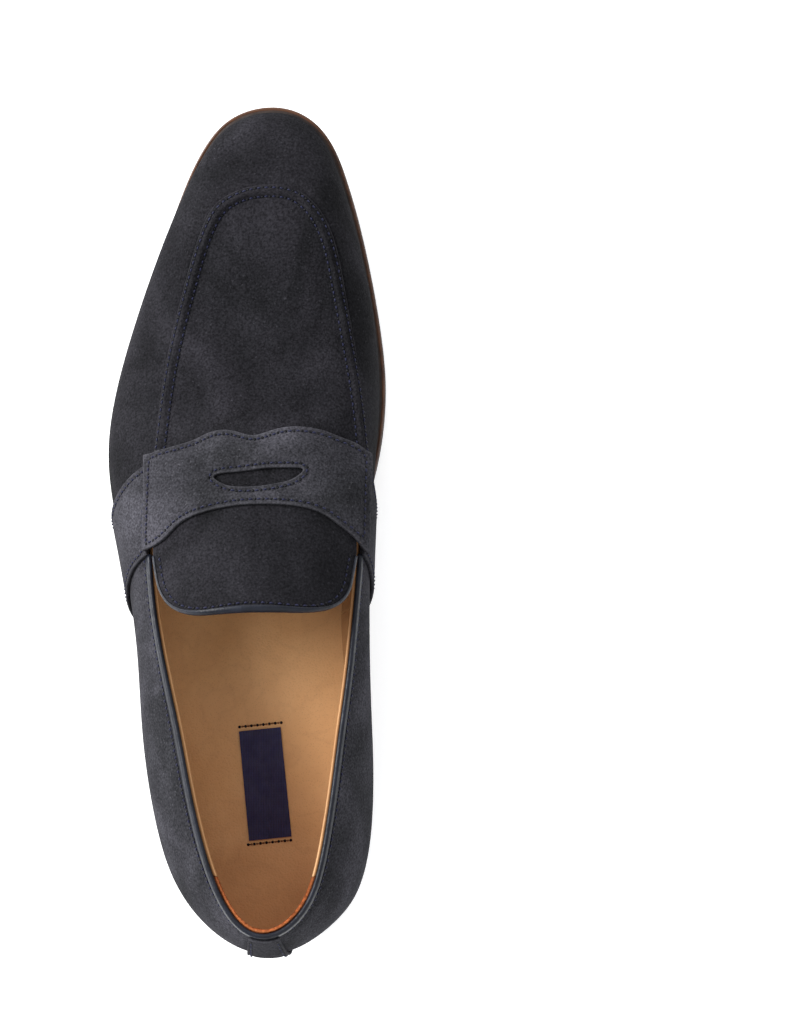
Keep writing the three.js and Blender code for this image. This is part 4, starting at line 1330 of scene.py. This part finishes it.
def label():
    corners = np.array(LABEL, float)
    piece = plate("label_ribbon", cornered(corners, LABEL_SPACING), above(sock_z, LABEL_UNDER),
                  above(sock_z, LABEL_OVER), LABEL_NAVY, LABEL_SPACING, 2)
    attach(piece, "label_patch")
    rows = [np.array([corners[a] + shift, corners[b] + shift]) for a, b, shift in LABEL_ENDS]
    thread = attach(stitching("label_stitches", lambda p: with_height(p, sock_z(*p.T)), rows,
                              LABEL_SEW_HEIGHT, THREAD_BROWN, LABEL_PITCH))


# ------------------------------------------------------------------ the bottom

RIM_WIDTH = 11  # of the welt and the heel rand
RIM_PROFILE = [(RIM_WIDTH, 0), (1.3, 0), (1.15, -0.15), (1.0, 0), (0.5, 0), (0.12, -0.14), (0, -0.5),
               (0, -1.3), (0.14, -1.45), (0, -1.6), (0, -2.5), (0.12, -2.86), (0.5, -3), (RIM_WIDTH, -3)]
DARK_SIDES = 2  # of that profile, next to the upper
RIM_LINE = 0.12  # depth of the fine lines round the heel
RIM_LINES = 10
SOLE_LINE = 0.14
SOLE_LINES = 12
TOOTH = 0.3
TOOTH_SHARES = np.linspace(0.12, 0.9, 6)  # heights of the rows of teeth on a ribbed rim
RIB_CORNER = 35
UNDERSIDE = -0.6  # faces whose normal points further down than this belong to the underside


def sole_low(x, y):
    """The underside of the sole, a little lower along the middle than at the edges."""
    return sole_bottom_z(y) + sole_edge_rise(y) * np.minimum(1, np.abs(x) / 50) ** 3


def sole_top(x, y):
    return feather_z(y) - WELT_THICK - GAP


def layered(depth, bulge_out):
    """A rim with fine lengthwise lines, slightly rounded."""
    return lambda k, share: bulge_out * (1 - (2 * share - 1) ** 2) - depth * (k % 2)


def rim_strip(name, t_from, t_to, finish, node):
    """Welt or rand: the strip between the upper and the sole."""
    t = stretch(t_from, t_to, 420)
    sections = []
    for deep, rise in RIM_PROFILE:
        plan = sole.inset(t, deep)
        sections.append(with_height(plan, feather_z(plan[:, 1]) + rise))
    side_finishes = [1] * DARK_SIDES + [0] * (len(RIM_PROFILE) - DARK_SIDES)
    attach(swept(name, np.transpose(sections, (1, 0, 2)), [finish, WELT_TOP], side_finishes), node)


def breast(x):
    """The y of the heel's front face."""
    (x_a, y_a), (x_b, y_b) = BREAST
    return y_a + (x - x_a) * (y_b - y_a) / (x_b - x_a)


def heel_loop(start):
    """The heel's plan outline, from a y of start forward to its front face."""
    edge = sole(stretch(-0.5, 0.5, 901))
    return edge[(edge[:, 1] < breast(edge[:, 0])) & (edge[:, 1] > start)]


def outsole():
    def low(x, y):
        return sole_low(x, y) + (TREAD_THICK + GAP) * (y > TREAD_FROM - GAP)

    loop = sole(stretch(0, 2, 421)[:-1])
    made = plate("outsole_leather", loop, low, sole_top, SOLE_EDGE, 2.4, SOLE_LINES,
                 layered(SOLE_LINE, 0.25))
    made.data.materials.append(SOLE_UNDER)
    for face in made.data.polygons:
        if face.normal.z < UNDERSIDE:
            face.material_index = 1
    attach(made, "outsole")


def ribbed(name, y_from, y_to, low, high, node, teeth_from):
    """A rubber slab with ribs across its underside and fine teeth round the top of its rim."""
    sections = []
    for i, y in enumerate(np.arange(y_from, y_to, RIB_PITCH / 4)):
        in_groove = i % 4 >= 2
        left, right = (float(sole.across(t)) for t in (sole.turn(y), 2 - sole.turn(y)))
        across = left + (right - left) * (1 - np.cos(np.linspace(0, math.pi, 25))) / 2
        here = np.full(len(across), y)
        under = low(across, here) + RIB_DEPTH * in_groove
        over = high(across, here)
        cut = np.where(TOOTH_SHARES > teeth_from, TOOTH * in_groove, -TOOTH * (1 - TOOTH_SHARES))
        right_rim, left_rim = (under[end] + (over[end] - under[end]) * TOOTH_SHARES for end in (-1, 0))
        x = np.concatenate([across, right - cut, across[::-3], left + cut[::-1]])
        z = np.concatenate([under, right_rim, over[::-3], left_rim[::-1]])
        sections.append(np.column_stack([x, np.full(len(x), y), z]))
    obj = swept(name, sections, [RUBBER])
    obj.data.set_sharp_from_angle(angle=math.radians(RIB_CORNER))
    attach(obj, node)


def chamfered(x, y):
    """The underside of the heel's front part, with the lower edge of its front face knocked off."""
    return BREAST_CHAMFER * np.clip(1 - (breast(x) - y) / BREAST_CHAMFER, 0, 1)


def heel():
    lower = TOP_PIECE_HEIGHT + GAP
    upper = lower + LIFT_HEIGHT + GAP
    layers = [("heel_lift_upper", sole.back - 1, level(upper), above(sole_low, -GAP), 0.12, 3.0),
              ("heel_lift_lower", sole.back - 1, level(lower), level(lower + LIFT_HEIGHT), 0.12, 3.0),
              ("heel_top_piece", TIP_TO + GAP, chamfered, level(TOP_PIECE_HEIGHT), 0.1, 1.6)]
    for node, start, low, high, bulge_out, spacing in layers:
        attach(plate(f"{node}_leather", heel_loop(start), low, high, SOLE_EDGE, spacing,
                     RIM_LINES, layered(RIM_LINE, bulge_out)), node)
    ribbed("heel_tip_rubber", sole.back + 0.05, TIP_TO, level(0), level(TOP_PIECE_HEIGHT),
           "heel_rubber_tip", 2.0)


def bottom():
    welt_end, rand_end = (float(sole.turn(y)) for y in (WELT_END, WELT_END - WELT_NOTCH))
    rim_strip("welt_leather", welt_end, 2 - welt_end, WELT, "welt")
    rim_strip("heel_rand_leather", -rand_end, rand_end, SOLE_EDGE, "heel_rand")
    outsole()
    ribbed("forepart_tread_rubber", TREAD_FROM, LENGTH - 0.1, sole_low, above(sole_low, TREAD_THICK),
           "forepart_tread", 0.45)
    heel()


def hidden_pieces():
    """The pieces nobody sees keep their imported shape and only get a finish."""
    for name, (node_slot, finish) in HIDDEN.items():
        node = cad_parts[name]
        node.data.materials.clear()
        node.data.materials.append(finish)


# ------------------------------------------------------------------ light and floor

AIM = Vector((0, 0, 0.04))
FLOOR_REACH = 3.0
SKY = (0.96, 0.98, 1.0, 1)
SKY_STRENGTH = 0.64
PAPER_GLOW = 0.42  # keeps the floor white in the photograph's view


def area_light(name, place, size, power):
    """A soft square light that looks at the shoe."""
    light = bpy.data.lights.new(name, "AREA")
    light.size = size
    light.energy = power
    lamp = bpy.data.objects.new(name, light)
    lamp.location = place
    lamp.rotation_euler = (AIM - lamp.location).to_track_quat("-Z", "Y").to_euler()
    bpy.context.scene.collection.objects.link(lamp)


def paper_floor():
    paper = Recipe("paper_white", Roughness=0.95, Emission_Color=(1, 1, 1, 1), Emission_Strength=PAPER_GLOW)
    paper.colour(paper.patches(3, 2, (0.3, 0.93), (0.7, 0.96)))
    corners = [(x * FLOOR_REACH, y * FLOOR_REACH, 0) for x, y in ((-1, -1), (1, -1), (1, 1), (-1, 1))]
    mesh = bpy.data.meshes.new("floor")
    mesh.from_pydata(corners, [], [(0, 1, 2, 3)])
    mesh.materials.append(paper.material)
    floor = bpy.data.objects.new("floor", mesh)
    bpy.context.scene.collection.objects.link(floor)


def studio():
    bpy.context.scene.view_settings.view_transform = "Standard"
    area_light("key_light", (-1.0, 0.4, 0.75), 0.7, 30)
    area_light("fill_light", (0.6, -0.7, 1.1), 0.9, 4)
    area_light("front_light", (0.1, 1.1, 0.9), 0.8, 5)
    world = bpy.data.worlds.new("studio")
    bpy.context.scene.world = world
    world.use_nodes = True
    world.node_tree.nodes["Background"].inputs["Color"].default_value = SKY
    world.node_tree.nodes["Background"].inputs["Strength"].default_value = SKY_STRENGTH
    paper_floor()


vamp_wall()
for big_toe_side in (False, True):
    quarter(big_toe_side)
    wing(big_toe_side)
backstay()
apron()
saddle()
topline_binding()
linings()
tongue()
sock()
label()
bottom()
hidden_pieces()
studio()
